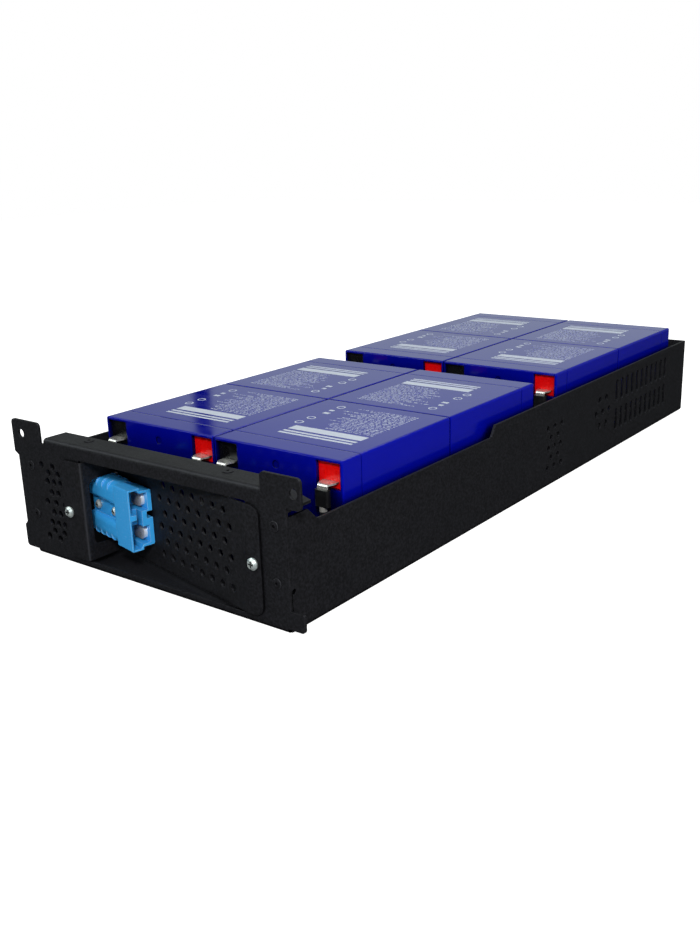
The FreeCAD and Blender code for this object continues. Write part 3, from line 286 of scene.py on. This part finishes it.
def moulded_case(colour):
    """ABS battery case, injection moulded in a polished mould.

    To the eye a deep gloss with faint sink waves and a few soft scuffs. Shade is painted into the narrow
    seams and wherever other parts close the case in, and onto the rounded edges, whose reflection is dimmed.
    """
    # Real orange peel is finer than the 0.9 mm drawn here.
    material, tree, place = new_material("moulded_abs_case")
    edge = add_node(tree, "ShaderNodeBevel", {"Radius": 1.4 * MM}, samples=8).outputs["Normal"]
    # Painted shade: this mask is low where other parts within 140 mm close the case in, and in seams narrower
    # than about 2.5 mm.
    light = add_node(tree, "ShaderNodeMath",
                     {0: openness(tree, 140.0, 0.2, 0.5), 1: openness(tree, 2.5, 0.55, 0.95)},
                     operation="MINIMUM").outputs["Value"]
    # Painted shade: the case's colour goes near black where that mask is low.
    shaded_plastic = add_node(tree, "ShaderNodeMix",
                       {FACTOR: light, FIRST: shade(colour, 0.04), SECOND: tuple(colour)},
                       data_type="RGBA").outputs[MIXED]
    # Painted shade on the rounded edges and in the shade above: their reflection is dimmed.
    level = add_node(tree, "ShaderNodeMapRange",
                     {"Value": flatness(tree, edge), **span(0.82, 0.99, 0.05, 1.0)}).outputs["Result"]
    reflection_outside_painted_shade = add_node(tree, "ShaderNodeMath", {0: light, 1: level}, operation="MULTIPLY").outputs["Value"]
    gloss = add_node(tree, "ShaderNodeMapRange",
                     {"Value": reflection_outside_painted_shade, **span(0.0, 1.0, 0.05, 0.5)}).outputs["Result"]
    waves = add_node(tree, "ShaderNodeTexNoise",
                     {"Vector": place, "Scale": noise_scale(22.0), "Detail": 1.0,
                      "Roughness": 0.4}).outputs["Fac"]
    peel = add_node(tree, "ShaderNodeTexNoise",
                    {"Vector": place, "Scale": noise_scale(0.9), "Detail": 2.0,
                     "Roughness": 0.5}).outputs["Fac"]
    scuffs = add_node(tree, "ShaderNodeTexNoise",
                      {"Vector": place, "Scale": noise_scale(5.0), "Detail": 5.0,
                       "Roughness": 0.65}).outputs["Fac"]
    rough = add_node(tree, "ShaderNodeMapRange",
                     {"Value": scuffs, **span(0.35, 0.75, 0.06, 0.12)}).outputs["Result"]
    sunk = add_node(tree, "ShaderNodeBump",
                    {"Height": waves, "Distance": 0.1 * MM, "Strength": 0.15,
                     "Normal": edge}).outputs["Normal"]
    skin = add_node(tree, "ShaderNodeBump",
                    {"Height": peel, "Distance": 0.002 * MM, "Strength": 0.5,
                     "Normal": sunk}).outputs["Normal"]
    set_surface(tree, {"Base Color": shaded_plastic, "Specular IOR Level": gloss, "Roughness": rough,
                       "Normal": skin, "IOR": 1.47})
    return material


def terminal_resin(name, colour):
    """Epoxy poured round a terminal and left to set: smooth and glossy, with small flow marks."""
    material, tree, place = new_material(name)
    flow = add_node(tree, "ShaderNodeTexNoise",
                    {"Vector": place, "Scale": noise_scale(2.5), "Detail": 2.0,
                     "Roughness": 0.5}).outputs["Fac"]
    rough = add_node(tree, "ShaderNodeMapRange", {"Value": flow, **noise_span(0.22, 0.36)}).outputs["Result"]
    skin = add_node(tree, "ShaderNodeBump",
                    {"Height": flow, "Distance": 0.15 * MM, "Strength": 0.5}).outputs["Normal"]
    set_surface(tree, {"Base Color": tuple(colour), "Roughness": rough, "Normal": skin, "IOR": 1.52})
    return material


def tinned_brass():
    """Rolled brass strip, tin plated: bright, a little cloudy, with fine rolling lines."""
    # The rolling lines are drawn 0.12 mm apart, coarser than the real ones. The plating is drawn less than
    # fully metallic, so that it stays bright in the dark gap between the batteries.
    material, tree, place = new_material("tinned_brass")
    rolled = add_node(tree, "ShaderNodeMapping",
                      {"Vector": place, "Scale": (1.0, 1.0, 0.08)}).outputs["Vector"]
    lines = add_node(tree, "ShaderNodeTexNoise",
                     {"Vector": rolled, "Scale": noise_scale(0.12), "Detail": 2.0,
                      "Roughness": 0.6}).outputs["Fac"]
    cloud = add_node(tree, "ShaderNodeTexNoise",
                     {"Vector": place, "Scale": noise_scale(1.6), "Detail": 3.0,
                      "Roughness": 0.6}).outputs["Fac"]
    tin = add_node(tree, "ShaderNodeMix",
                   {FACTOR: cloud, FIRST: linear("#DAD9D4"), SECOND: linear("#F1F0EA")},
                   data_type="RGBA").outputs[MIXED]
    # Painted shade: near black where sleeves, walls and wells hem the strip in within 8 mm.
    shaded_plating = add_node(tree, "ShaderNodeMix",
                     {FACTOR: openness(tree, 8.0, 0.2, 0.7), FIRST: shade(WHITE, 0.02), SECOND: tin},
                     data_type="RGBA").outputs[MIXED]
    rough = add_node(tree, "ShaderNodeMapRange", {"Value": cloud, **noise_span(0.22, 0.38)}).outputs["Result"]
    grooves = add_node(tree, "ShaderNodeBump",
                       {"Height": lines, "Distance": 0.01 * MM, "Strength": 0.5}).outputs["Normal"]
    set_surface(tree, {"Base Color": shaded_plating, "Metallic": 0.7, "Roughness": rough, "Normal": grooves})
    return material


def vinyl(name, colour, roughness=0.42):
    """Soft PVC of a sleeve or a lead, extruded: satin, slightly uneven, with a little dust on it."""
    # Dust is drawn in 0.5 mm patches, coarser than real dust, so that it shows.
    material, tree, place = new_material(name)
    ripple = add_node(tree, "ShaderNodeTexNoise",
                      {"Vector": place, "Scale": noise_scale(1.8), "Detail": 2.0,
                       "Roughness": 0.5}).outputs["Fac"]
    dust = add_node(tree, "ShaderNodeTexNoise",
                    {"Vector": place, "Scale": noise_scale(0.5), "Detail": 3.0,
                     "Roughness": 0.6}).outputs["Fac"]
    dusty = add_node(tree, "ShaderNodeMapRange",
                     {"Value": dust, **span(0.45, 0.8, 0.0, 1.0)}).outputs["Result"]
    skin = add_node(tree, "ShaderNodeMix",
                    {FACTOR: dusty, FIRST: tuple(colour), SECOND: shade(colour, 1.5)},
                    data_type="RGBA").outputs[MIXED]
    rough = add_node(tree, "ShaderNodeMapRange",
                     {"Value": ripple, **noise_span(roughness - 0.06, roughness + 0.08)}).outputs["Result"]
    uneven = add_node(tree, "ShaderNodeBump",
                      {"Height": ripple, "Distance": 0.05 * MM, "Strength": 0.4}).outputs["Normal"]
    set_surface(tree, {"Base Color": skin, "Roughness": rough, "Normal": uneven, "IOR": 1.53})
    return material


def moulded_polycarbonate(colour):
    """Connector housing in moulded polycarbonate: satin, with painted highlights on edges, painted shade in
    recesses.
    """
    # The mould's fine texture is drawn 0.35 mm wide, coarser than the real one.
    material, tree, place = new_material("moulded_polycarbonate")
    texture = add_node(tree, "ShaderNodeTexNoise",
                       {"Vector": place, "Scale": noise_scale(0.35), "Detail": 2.0,
                        "Roughness": 0.5}).outputs["Fac"]
    edge = add_node(tree, "ShaderNodeBevel", {"Radius": 0.35 * MM}, samples=8).outputs["Normal"]
    face = add_node(tree, "ShaderNodeNewGeometry").outputs["Normal"]
    bend = add_node(tree, "ShaderNodeVectorMath", {0: edge, 1: face},
                    operation="DOT_PRODUCT").outputs["Value"]
    # Painted highlight: the housing's edges turn pale blue where the bevelled normal turns.
    painted_edge_highlight = add_node(tree, "ShaderNodeMapRange",
                      {"Value": bend, **span(0.78, 0.97, 0.8, 0.0)}).outputs["Result"]
    edge_highlit_housing = add_node(tree, "ShaderNodeMix",
                       {FACTOR: painted_edge_highlight, FIRST: tuple(colour), SECOND: linear("#C4E6FF")},
                       data_type="RGBA").outputs[MIXED]
    # Painted shade: near black in the housing's own sockets and recesses, within 9 mm.
    shaded_plastic = add_node(tree, "ShaderNodeMix",
                       {FACTOR: openness(tree, 9.0, 0.12, 0.62, only_local=True),
                        FIRST: shade(colour, 0.08), SECOND: edge_highlit_housing},
                       data_type="RGBA").outputs[MIXED]
    rough = add_node(tree, "ShaderNodeMapRange",
                     {"Value": texture, **noise_span(0.18, 0.28)}).outputs["Result"]
    skin = add_node(tree, "ShaderNodeBump",
                    {"Height": texture, "Distance": 0.02 * MM, "Strength": 0.5,
                     "Normal": edge}).outputs["Normal"]
    set_surface(tree, {"Base Color": shaded_plastic, "Roughness": rough, "Normal": skin, "IOR": 1.55})
    return material


def silver_plate():
    """Copper contact, silver plated: pale, slightly tarnished, wiped lengthwise by mating."""
    # The wipe marks are drawn 0.2 mm apart, coarser than the real ones. A thin tarnish covers the silver,
    # so it is drawn much less metallic than when bare.
    material, tree, place = new_material("silver_plated_copper")
    along = add_node(tree, "ShaderNodeMapping",
                     {"Vector": place, "Scale": (0.1, 1.0, 1.0)}).outputs["Vector"]
    wipes = add_node(tree, "ShaderNodeTexNoise",
                     {"Vector": along, "Scale": noise_scale(0.2), "Detail": 2.0,
                      "Roughness": 0.6}).outputs["Fac"]
    tarnish = add_node(tree, "ShaderNodeTexNoise",
                       {"Vector": place, "Scale": noise_scale(1.5), "Detail": 3.0,
                        "Roughness": 0.6}).outputs["Fac"]
    silver = add_node(tree, "ShaderNodeMix", {FACTOR: tarnish, FIRST: linear("#DAD9D6"), SECOND: WHITE},
                      data_type="RGBA").outputs[MIXED]
    # Painted shade: near black deep in the socket, where other surfaces lie within 14 mm.
    shaded_plating = add_node(tree, "ShaderNodeMix",
                     {FACTOR: openness(tree, 14.0, 0.06, 0.3), FIRST: shade(WHITE, 0.01), SECOND: silver},
                     data_type="RGBA").outputs[MIXED]
    rough = add_node(tree, "ShaderNodeMapRange",
                     {"Value": tarnish, **noise_span(0.24, 0.38)}).outputs["Result"]
    marks = add_node(tree, "ShaderNodeBump",
                     {"Height": wipes, "Distance": 0.01 * MM, "Strength": 0.4}).outputs["Normal"]
    set_surface(tree, {"Base Color": shaded_plating, "Metallic": 0.25, "Roughness": rough, "Normal": marks})
    return material


def zinc_plate():
    """Steel screw, zinc plated and passivated clear: a cool grey metal, faintly cloudy."""
    # The plating's crystals are drawn 0.3 mm wide, coarser than the real ones. The passivation is a clear
    # film, so the screw is drawn less than fully metallic.
    material, tree, place = new_material("zinc_plated_steel")
    cloud = add_node(tree, "ShaderNodeTexNoise",
                     {"Vector": place, "Scale": noise_scale(1.2), "Detail": 2.0,
                      "Roughness": 0.5}).outputs["Fac"]
    crystals = add_node(tree, "ShaderNodeTexNoise",
                        {"Vector": place, "Scale": noise_scale(0.3), "Detail": 2.0,
                         "Roughness": 0.5}).outputs["Fac"]
    cloudy = add_node(tree, "ShaderNodeMapRange", {"Value": cloud, **noise_span(0.0, 1.0)}).outputs["Result"]
    zinc = add_node(tree, "ShaderNodeMix",
                    {FACTOR: cloudy, FIRST: linear("#C6D4D6"), SECOND: linear("#E2E8E4")},
                    data_type="RGBA").outputs[MIXED]
    # Painted shade: near black in tight hollows and corners within 2 mm.
    shaded_plating = add_node(tree, "ShaderNodeMix",
                     {FACTOR: openness(tree, 2.0, 0.35, 0.9), FIRST: shade(WHITE, 0.02), SECOND: zinc},
                     data_type="RGBA").outputs[MIXED]
    rough = add_node(tree, "ShaderNodeMapRange", {"Value": cloud, **noise_span(0.34, 0.48)}).outputs["Result"]
    skin = add_node(tree, "ShaderNodeBump",
                    {"Height": crystals, "Distance": 0.012 * MM, "Strength": 0.5}).outputs["Normal"]
    set_surface(tree, {"Base Color": shaded_plating, "Metallic": 0.6, "Roughness": rough, "Normal": skin})
    return material


def screen_print(name, ink, case, cover):
    """Screen-printed ink: matt, and opaque or broken into specks where it stands for small print."""
    # The specks are drawn 0.38 mm wide, coarser than a real screen's mesh.
    material, tree, place = new_material(name)
    specks = add_node(tree, "ShaderNodeTexNoise",
                      {"Vector": place, "Scale": noise_scale(0.38), "Detail": 1.0,
                       "Roughness": 0.5}).outputs["Fac"]
    blur = 0.06
    inked = add_node(tree, "ShaderNodeMapRange",
                     {"Value": specks, **span(cover - blur, cover + blur, 1.0, 0.0)}).outputs["Result"]
    face = add_node(tree, "ShaderNodeMix", {FACTOR: inked, FIRST: tuple(case), SECOND: tuple(ink)},
                    data_type="RGBA").outputs[MIXED]
    skin = add_node(tree, "ShaderNodeBump",
                    {"Height": specks, "Distance": 0.004 * MM, "Strength": 0.3}).outputs["Normal"]
    set_surface(tree, {"Base Color": face, "Roughness": 0.45, "Normal": skin, "IOR": 1.5})
    return material


def paint(names, material):
    """Gives a finish to CAD nodes through their objects' material slots."""
    for name in names:
        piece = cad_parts[name]
        for index in range(len(piece.material_slots)):
            piece.material_slots[index].link = "OBJECT"
            piece.material_slots[index].material = material


# ---------------------------------------------------------------- modelling helpers

def start_piece():
    """Leaves edit mode and deselects everything, so the next operator acts on the new piece only."""
    if bpy.context.object is not None and bpy.context.object.mode != "OBJECT":
        bpy.ops.object.mode_set(mode="OBJECT")
    bpy.ops.object.select_all(action="DESELECT")


def bake_place(piece):
    """Moves a piece's place, turn and scale into its mesh."""
    start_piece()
    piece.select_set(True)
    bpy.context.view_layer.objects.active = piece
    bpy.ops.object.transform_apply(location=True, rotation=True, scale=True)


def flat_bar(across, along, width, height):
    """A flat rectangle of ink with its middle at the given place."""
    bpy.ops.mesh.primitive_plane_add(size=1.0, location=(across, along, 0))
    bar = bpy.context.object
    bar.scale = (width, height, 1.0)
    return bar


def flat_ring(across, along, radius, breadth):
    """A flat ring of ink with its middle at the given place."""
    bpy.ops.mesh.primitive_circle_add(vertices=32, radius=radius, fill_type="NGON",
                                      location=(across, along, 0))
    ring = bpy.context.object
    bpy.ops.object.mode_set(mode="EDIT")
    bpy.ops.mesh.select_all(action="SELECT")
    bpy.ops.mesh.inset(thickness=breadth)
    bpy.ops.mesh.delete(type="FACE")
    bpy.ops.object.mode_set(mode="OBJECT")
    return ring


def join_flat(name, shapes, thickness):
    """Joins flat shapes to one piece and gives the ink its thickness."""
    start_piece()
    for shape in shapes:
        shape.select_set(True)
    bpy.context.view_layer.objects.active = shapes[0]
    bpy.ops.object.transform_apply(location=True, rotation=True, scale=True)
    if len(shapes) > 1:
        bpy.ops.object.join()
    piece = bpy.context.object
    piece.name = name
    bpy.ops.object.mode_set(mode="EDIT")
    bpy.ops.mesh.select_all(action="SELECT")
    bpy.ops.mesh.extrude_region_move(TRANSFORM_OT_translate={"value": (0, 0, thickness)})
    bpy.ops.mesh.select_all(action="SELECT")
    bpy.ops.mesh.normals_make_consistent(inside=False)
    bpy.ops.object.mode_set(mode="OBJECT")
    piece.location = (0, 0, 0)
    bake_place(piece)
    return piece


def copy_piece(piece, name, place):
    """A copy with its own mesh, its place baked into that mesh."""
    twin = piece.copy()
    twin.data = piece.data.copy()
    twin.name = name
    bpy.context.collection.objects.link(twin)
    twin.matrix_world = place
    bake_place(twin)
    return twin


def cell_place(name):
    """Place of a battery's terminal edge: the middle of it, turned for the rows that face back."""
    low, high = (Vector(corner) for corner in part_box(f"battery_lid_{name}"))
    turned = name[0] in ROWS_TURNED
    face = high.y if turned else low.y
    turn = Matrix.Rotation(math.pi if turned else 0.0, 4, "Z")
    return Matrix.Translation(((low.x + high.x) / 2, face, high.z)) @ turn


# ---------------------------------------------------------------- operators

class FinishTray(bpy.types.Operator):
    """Powder coats the tray, the connector panel and the rivets"""
    bl_idname = "cartridge.finish_tray"
    bl_label = "Finish Tray"

    def execute(self, context):
        coat = textured_powder_coat(context.scene.cartridge_colours.coat)
        paint(["tray", "connector_panel", "plate_rivets", "flange_rivets"], coat)
        return {"FINISHED"}


class FinishBatteries(bpy.types.Operator):
    """Gives the battery cases, lids and terminal resin their finish"""
    bl_idname = "cartridge.finish_batteries"
    bl_label = "Finish Batteries"

    def execute(self, context):
        colours = context.scene.cartridge_colours
        case = moulded_case(colours.case)
        red = terminal_resin("red_terminal_resin", colours.positive)
        black = terminal_resin("black_terminal_resin", colours.negative)
        for cell in CELLS:
            paint([f"battery_case_{cell}", f"battery_lid_{cell}"], case)
            paint([f"positive_well_{cell}"], red)
            paint([f"negative_well_{cell}"], black)
        return {"FINISHED"}


class FinishTerminals(bpy.types.Operator):
    """Gives the tabs, crimps and sleeves their finish"""
    bl_idname = "cartridge.finish_terminals"
    bl_label = "Finish Terminals"

    def execute(self, context):
        paint([f"battery_tabs_{cell}" for cell in CELLS] + ["terminal_crimps"], tinned_brass())
        paint(["terminal_sleeves"], vinyl("black_vinyl_sleeve", linear("#101012"), roughness=0.38))
        return {"FINISHED"}


class FinishConnector(bpy.types.Operator):
    """Gives the power connector, its contacts and the screws their finish"""
    bl_idname = "cartridge.finish_connector"
    bl_label = "Finish Connector"

    def execute(self, context):
        paint(["connector_housing"], moulded_polycarbonate(context.scene.cartridge_colours.plug))
        paint(["contact_upper", "contact_lower"], silver_plate())
        paint(["connector_screws", "panel_screws"], zinc_plate())
        return {"FINISHED"}


class FinishLeads(bpy.types.Operator):
    """Gives the leads their insulation"""
    bl_idname = "cartridge.finish_leads"
    bl_label = "Finish Leads"

    def execute(self, context):
        colours = context.scene.cartridge_colours
        paint(["positive_lead"], vinyl("red_vinyl_insulation", colours.lead_red))
        paint(["negative_lead", "row_links", "middle_link", "front_side_lead", "rear_side_lead"],
              vinyl("black_vinyl_insulation", colours.lead_black))
        return {"FINISHED"}


class PrintBatteries(bpy.types.Operator):
    """Prints plain bars, rows of dashes and ring marks on the upper side of each battery"""
    bl_idname = "cartridge.print_batteries"
    bl_label = "Print Batteries"

    def execute(self, context):
        colours = context.scene.cartridge_colours
        sizes = context.scene.cartridge_print
        bold = self.draw_bold(sizes)
        bold.data.materials.append(screen_print("white_screen_print", colours.ink, colours.case, BOLD_COVER))
        fine = self.draw_fine(sizes)
        fine.data.materials.append(screen_print("small_screen_print", colours.ink, colours.case, FINE_COVER))
        for cell in CELLS:
            place = cell_place(cell)
            for pattern, name in ((bold, "print_bold"), (fine, "print_fine")):
                twin = copy_piece(pattern, f"{name}_{cell}", place)
                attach(twin, "root")
        bpy.data.objects.remove(bold)
        bpy.data.objects.remove(fine)
        return {"FINISHED"}

    def draw_bold(self, sizes):
        """The broad bar with its two rules, and the rings and blocks beside the dashes."""
        start_piece()
        middle = BAR_MIDDLE * MM
        shapes = [flat_bar(middle, BAR_ALONG * MM, sizes.length, sizes.height)]
        for along in RULES_ALONG:
            shapes.append(flat_bar(middle, along * MM, sizes.length, sizes.rule))
        for along in RINGS_ALONG:
            shapes.append(flat_ring(RINGS_ACROSS * MM, along * MM, sizes.ring, RING_BREADTH * MM))
        for block in BLOCKS:
            shapes.append(flat_bar(*(value * MM for value in block)))
        return join_flat("print_pattern_bold", shapes, BOLD_INK * MM)

    def draw_fine(self, sizes):
        """Rows of dashes of uneven length in the place of small print, level at the bar's right end."""
        start_piece()
        order = random.Random(7)
        right = BAR_MIDDLE * MM + sizes.length / 2
        dashes = []
        for row in range(ROWS):
            along = FIRST_ROW * MM + row * sizes.pitch
            reach = order.uniform(*ROW_LENGTH) * MM
            start = right
            while start > right - reach:
                word = order.uniform(*WORD_LENGTH) * MM
                dashes.append(flat_bar(start - word / 2, along, word, sizes.dash))
                start -= word + WORD_GAP * MM
        return join_flat("print_pattern_fine", dashes, FINE_INK * MM)


class SetStage(bpy.types.Operator):
    """Adds the white floor and backdrop, the softboxes and the camera"""
    bl_idname = "cartridge.set_stage"
    bl_label = "Set Stage"

    def execute(self, context):
        sizes = context.scene.cartridge_stage
        self.add_floor(sizes)
        self.light_world(sizes, context.scene)
        for name, place, size, setting in SOFTBOXES:
            self.add_softbox(name, place, size, getattr(sizes, setting))
        self.add_camera(context.scene)
        context.scene.view_settings.view_transform = "Standard"
        return {"FINISHED"}

    def add_floor(self, sizes):
        """A matt floor that keeps the cartridge's shadow.

        The camera sees it lifted to nearly white. In the cartridge's reflections it is dark.
        """
        start_piece()
        bpy.ops.mesh.primitive_plane_add(size=sizes.floor, location=(0, 0, CAD_BOX[0][2] - FLOOR_GAP))
        floor = bpy.context.object
        floor.name = "studio_floor"
        bake_place(floor)
        material = bpy.data.materials.new("white_studio_floor")
        material.use_nodes = True
        tree = material.node_tree
        tree.nodes.clear()
        rays = add_node(tree, "ShaderNodeLightPath").outputs
        paper = add_node(tree, "ShaderNodeMix",
                         {FACTOR: rays["Is Glossy Ray"], FIRST: shade(WHITE, 0.86),
                          SECOND: shade(WHITE, 0.1)},
                         data_type="RGBA").outputs[MIXED]
        matt = add_node(tree, "ShaderNodeBsdfDiffuse", {"Color": paper}).outputs["BSDF"]
        lift = add_node(tree, "ShaderNodeEmission",
                        {"Color": shade(WHITE, 0.93), "Strength": rays["Is Camera Ray"]}).outputs["Emission"]
        both = add_node(tree, "ShaderNodeAddShader", {0: matt, 1: lift}).outputs["Shader"]
        add_node(tree, "ShaderNodeOutputMaterial", {"Surface": both})
        floor.data.materials.append(material)

    def light_world(self, sizes, scene):
        """White to the camera, an even cool fill to matt surfaces, and a studio room to glossy ones.

        The mirrored room has a white backdrop, a light ceiling and a small window. It is dimmer away from
        its brightest stretch, and a thin lamp stand is dark in it.
        """
        world = bpy.data.worlds.new("studio_world")
        scene.world = world
        world.use_nodes = True
        tree = world.node_tree
        tree.nodes.clear()
        rays = add_node(tree, "ShaderNodeLightPath").outputs
        way = add_node(tree, "ShaderNodeTexCoord").outputs["Generated"]
        towards = {axis: add_node(tree, "ShaderNodeVectorMath", {0: way, 1: axis},
                                  operation="DOT_PRODUCT").outputs["Value"]
                   for axis in (BACKDROP_WAY, CEILING_WAY, WINDOW_WAY, BRIGHT_WAY, STAND_ACROSS)}
        backdrop = add_node(tree, "ShaderNodeMapRange",
                            {"Value": towards[BACKDROP_WAY],
                             **span(0.1, 0.75, 0.06, 0.54)}).outputs["Result"]
        ceiling = add_node(tree, "ShaderNodeMapRange",
                           {"Value": towards[CEILING_WAY], **span(0.3, 0.8, 0.0, 0.9)}).outputs["Result"]
        window = add_node(tree, "ShaderNodeMapRange",
                          {"Value": towards[WINDOW_WAY], **span(0.94, 0.97, 0.0, 7.0)}).outputs["Result"]
        stretch = add_node(tree, "ShaderNodeMapRange",
                           {"Value": towards[BRIGHT_WAY], **span(0.915, 0.955, 0.7, 1.0)}).outputs["Result"]
        beside = add_node(tree, "ShaderNodeMath", {0: towards[STAND_ACROSS]},
                          operation="ABSOLUTE").outputs["Value"]
        stand = add_node(tree, "ShaderNodeMapRange",
                         {"Value": beside, **span(0.0072, 0.0088, 0.0, 1.0)}).outputs["Result"]
        mirrored = backdrop
        for part, how in ((ceiling, "MAXIMUM"), (window, "MAXIMUM"), (stretch, "MULTIPLY"),
                          (stand, "MULTIPLY")):
            mirrored = add_node(tree, "ShaderNodeMath", {0: mirrored, 1: part},
                                operation=how).outputs["Value"]
        unseen = add_node(tree, "ShaderNodeMapRange",
                          {"Value": rays["Is Glossy Ray"], "To Min": sizes.fill,
                           "To Max": mirrored}).outputs["Result"]
        seen = add_node(tree, "ShaderNodeMath", {0: rays["Is Camera Ray"], 1: rays["Is Transmission Ray"]},
                        operation="MAXIMUM").outputs["Value"]
        strength = add_node(tree, "ShaderNodeMapRange",
                            {"Value": seen, "To Min": unseen, "To Max": 1.0}).outputs["Result"]
        colour = add_node(tree, "ShaderNodeMix", {FACTOR: seen, FIRST: COOL_WHITE, SECOND: WHITE},
                          data_type="RGBA").outputs[MIXED]
        sky = add_node(tree, "ShaderNodeBackground", {"Color": colour, "Strength": strength})
        add_node(tree, "ShaderNodeOutputWorld", {"Surface": sky.outputs["Background"]})

    def add_softbox(self, name, place, size, power):
        """A rectangular lamp aimed at the middle of the cartridge."""
        start_piece()
        bpy.ops.object.light_add(type="AREA", location=place)
        lamp = bpy.context.object
        lamp.name = name
        lamp.rotation_euler = (LIGHT_AIM - Vector(place)).to_track_quat("-Z", "Y").to_euler()
        lamp.data.shape = "RECTANGLE"
        lamp.data.size, lamp.data.size_y = size
        lamp.data.energy = power

    def add_camera(self, scene):
        """Camera at the right in front, a little above the cartridge."""
        start_piece()
        bpy.ops.object.camera_add()
        camera = bpy.context.object
        right, ahead = Vector(CAMERA_RIGHT), Vector(CAMERA_AHEAD)
        turn = Matrix((right, right.cross(ahead), -ahead)).transposed().to_4x4()
        camera.matrix_world = Matrix.Translation(CAMERA_PLACE) @ turn
        camera.data.sensor_width = CAMERA_SENSOR
        camera.data.lens = CAMERA_LENS
        camera.data.clip_start = 0.01
        scene.camera = camera


class CartridgePanel(bpy.types.Panel):
    """Sidebar panel with the finishing steps"""
    bl_idname = "VIEW3D_PT_cartridge"
    bl_label = "Battery Cartridge"
    bl_space_type = "VIEW_3D"
    bl_region_type = "UI"
    bl_category = "Cartridge"

    def draw(self, context):
        for group in (context.scene.cartridge_colours, context.scene.cartridge_print,
                      context.scene.cartridge_stage):
            for name in group.bl_rna.properties.keys():
                if name not in ("rna_type", "name"):
                    self.layout.prop(group, name)
        for operator in OPERATORS:
            self.layout.operator(operator.bl_idname)


GROUPS = {
    "cartridge_colours": CartridgeColours,
    "cartridge_print": CartridgePrint,
    "cartridge_stage": CartridgeStage,
}
OPERATORS = (FinishTray, FinishBatteries, FinishTerminals, FinishConnector, FinishLeads, PrintBatteries,
             SetStage)
CLASSES = tuple(GROUPS.values()) + OPERATORS + (CartridgePanel,)


def register():
    for kind in CLASSES:
        bpy.utils.register_class(kind)
    for name, group in GROUPS.items():
        setattr(bpy.types.Scene, name, bpy.props.PointerProperty(type=group))


def unregister():
    for name in GROUPS:
        delattr(bpy.types.Scene, name)
    for kind in reversed(CLASSES):
        bpy.utils.unregister_class(kind)


def main():
    register()
    bpy.ops.cartridge.finish_tray()
    bpy.ops.cartridge.finish_batteries()
    bpy.ops.cartridge.finish_terminals()
    bpy.ops.cartridge.finish_connector()
    bpy.ops.cartridge.finish_leads()
    bpy.ops.cartridge.print_batteries()
    bpy.ops.cartridge.set_stage()


if __name__ == "__main__":
    main()
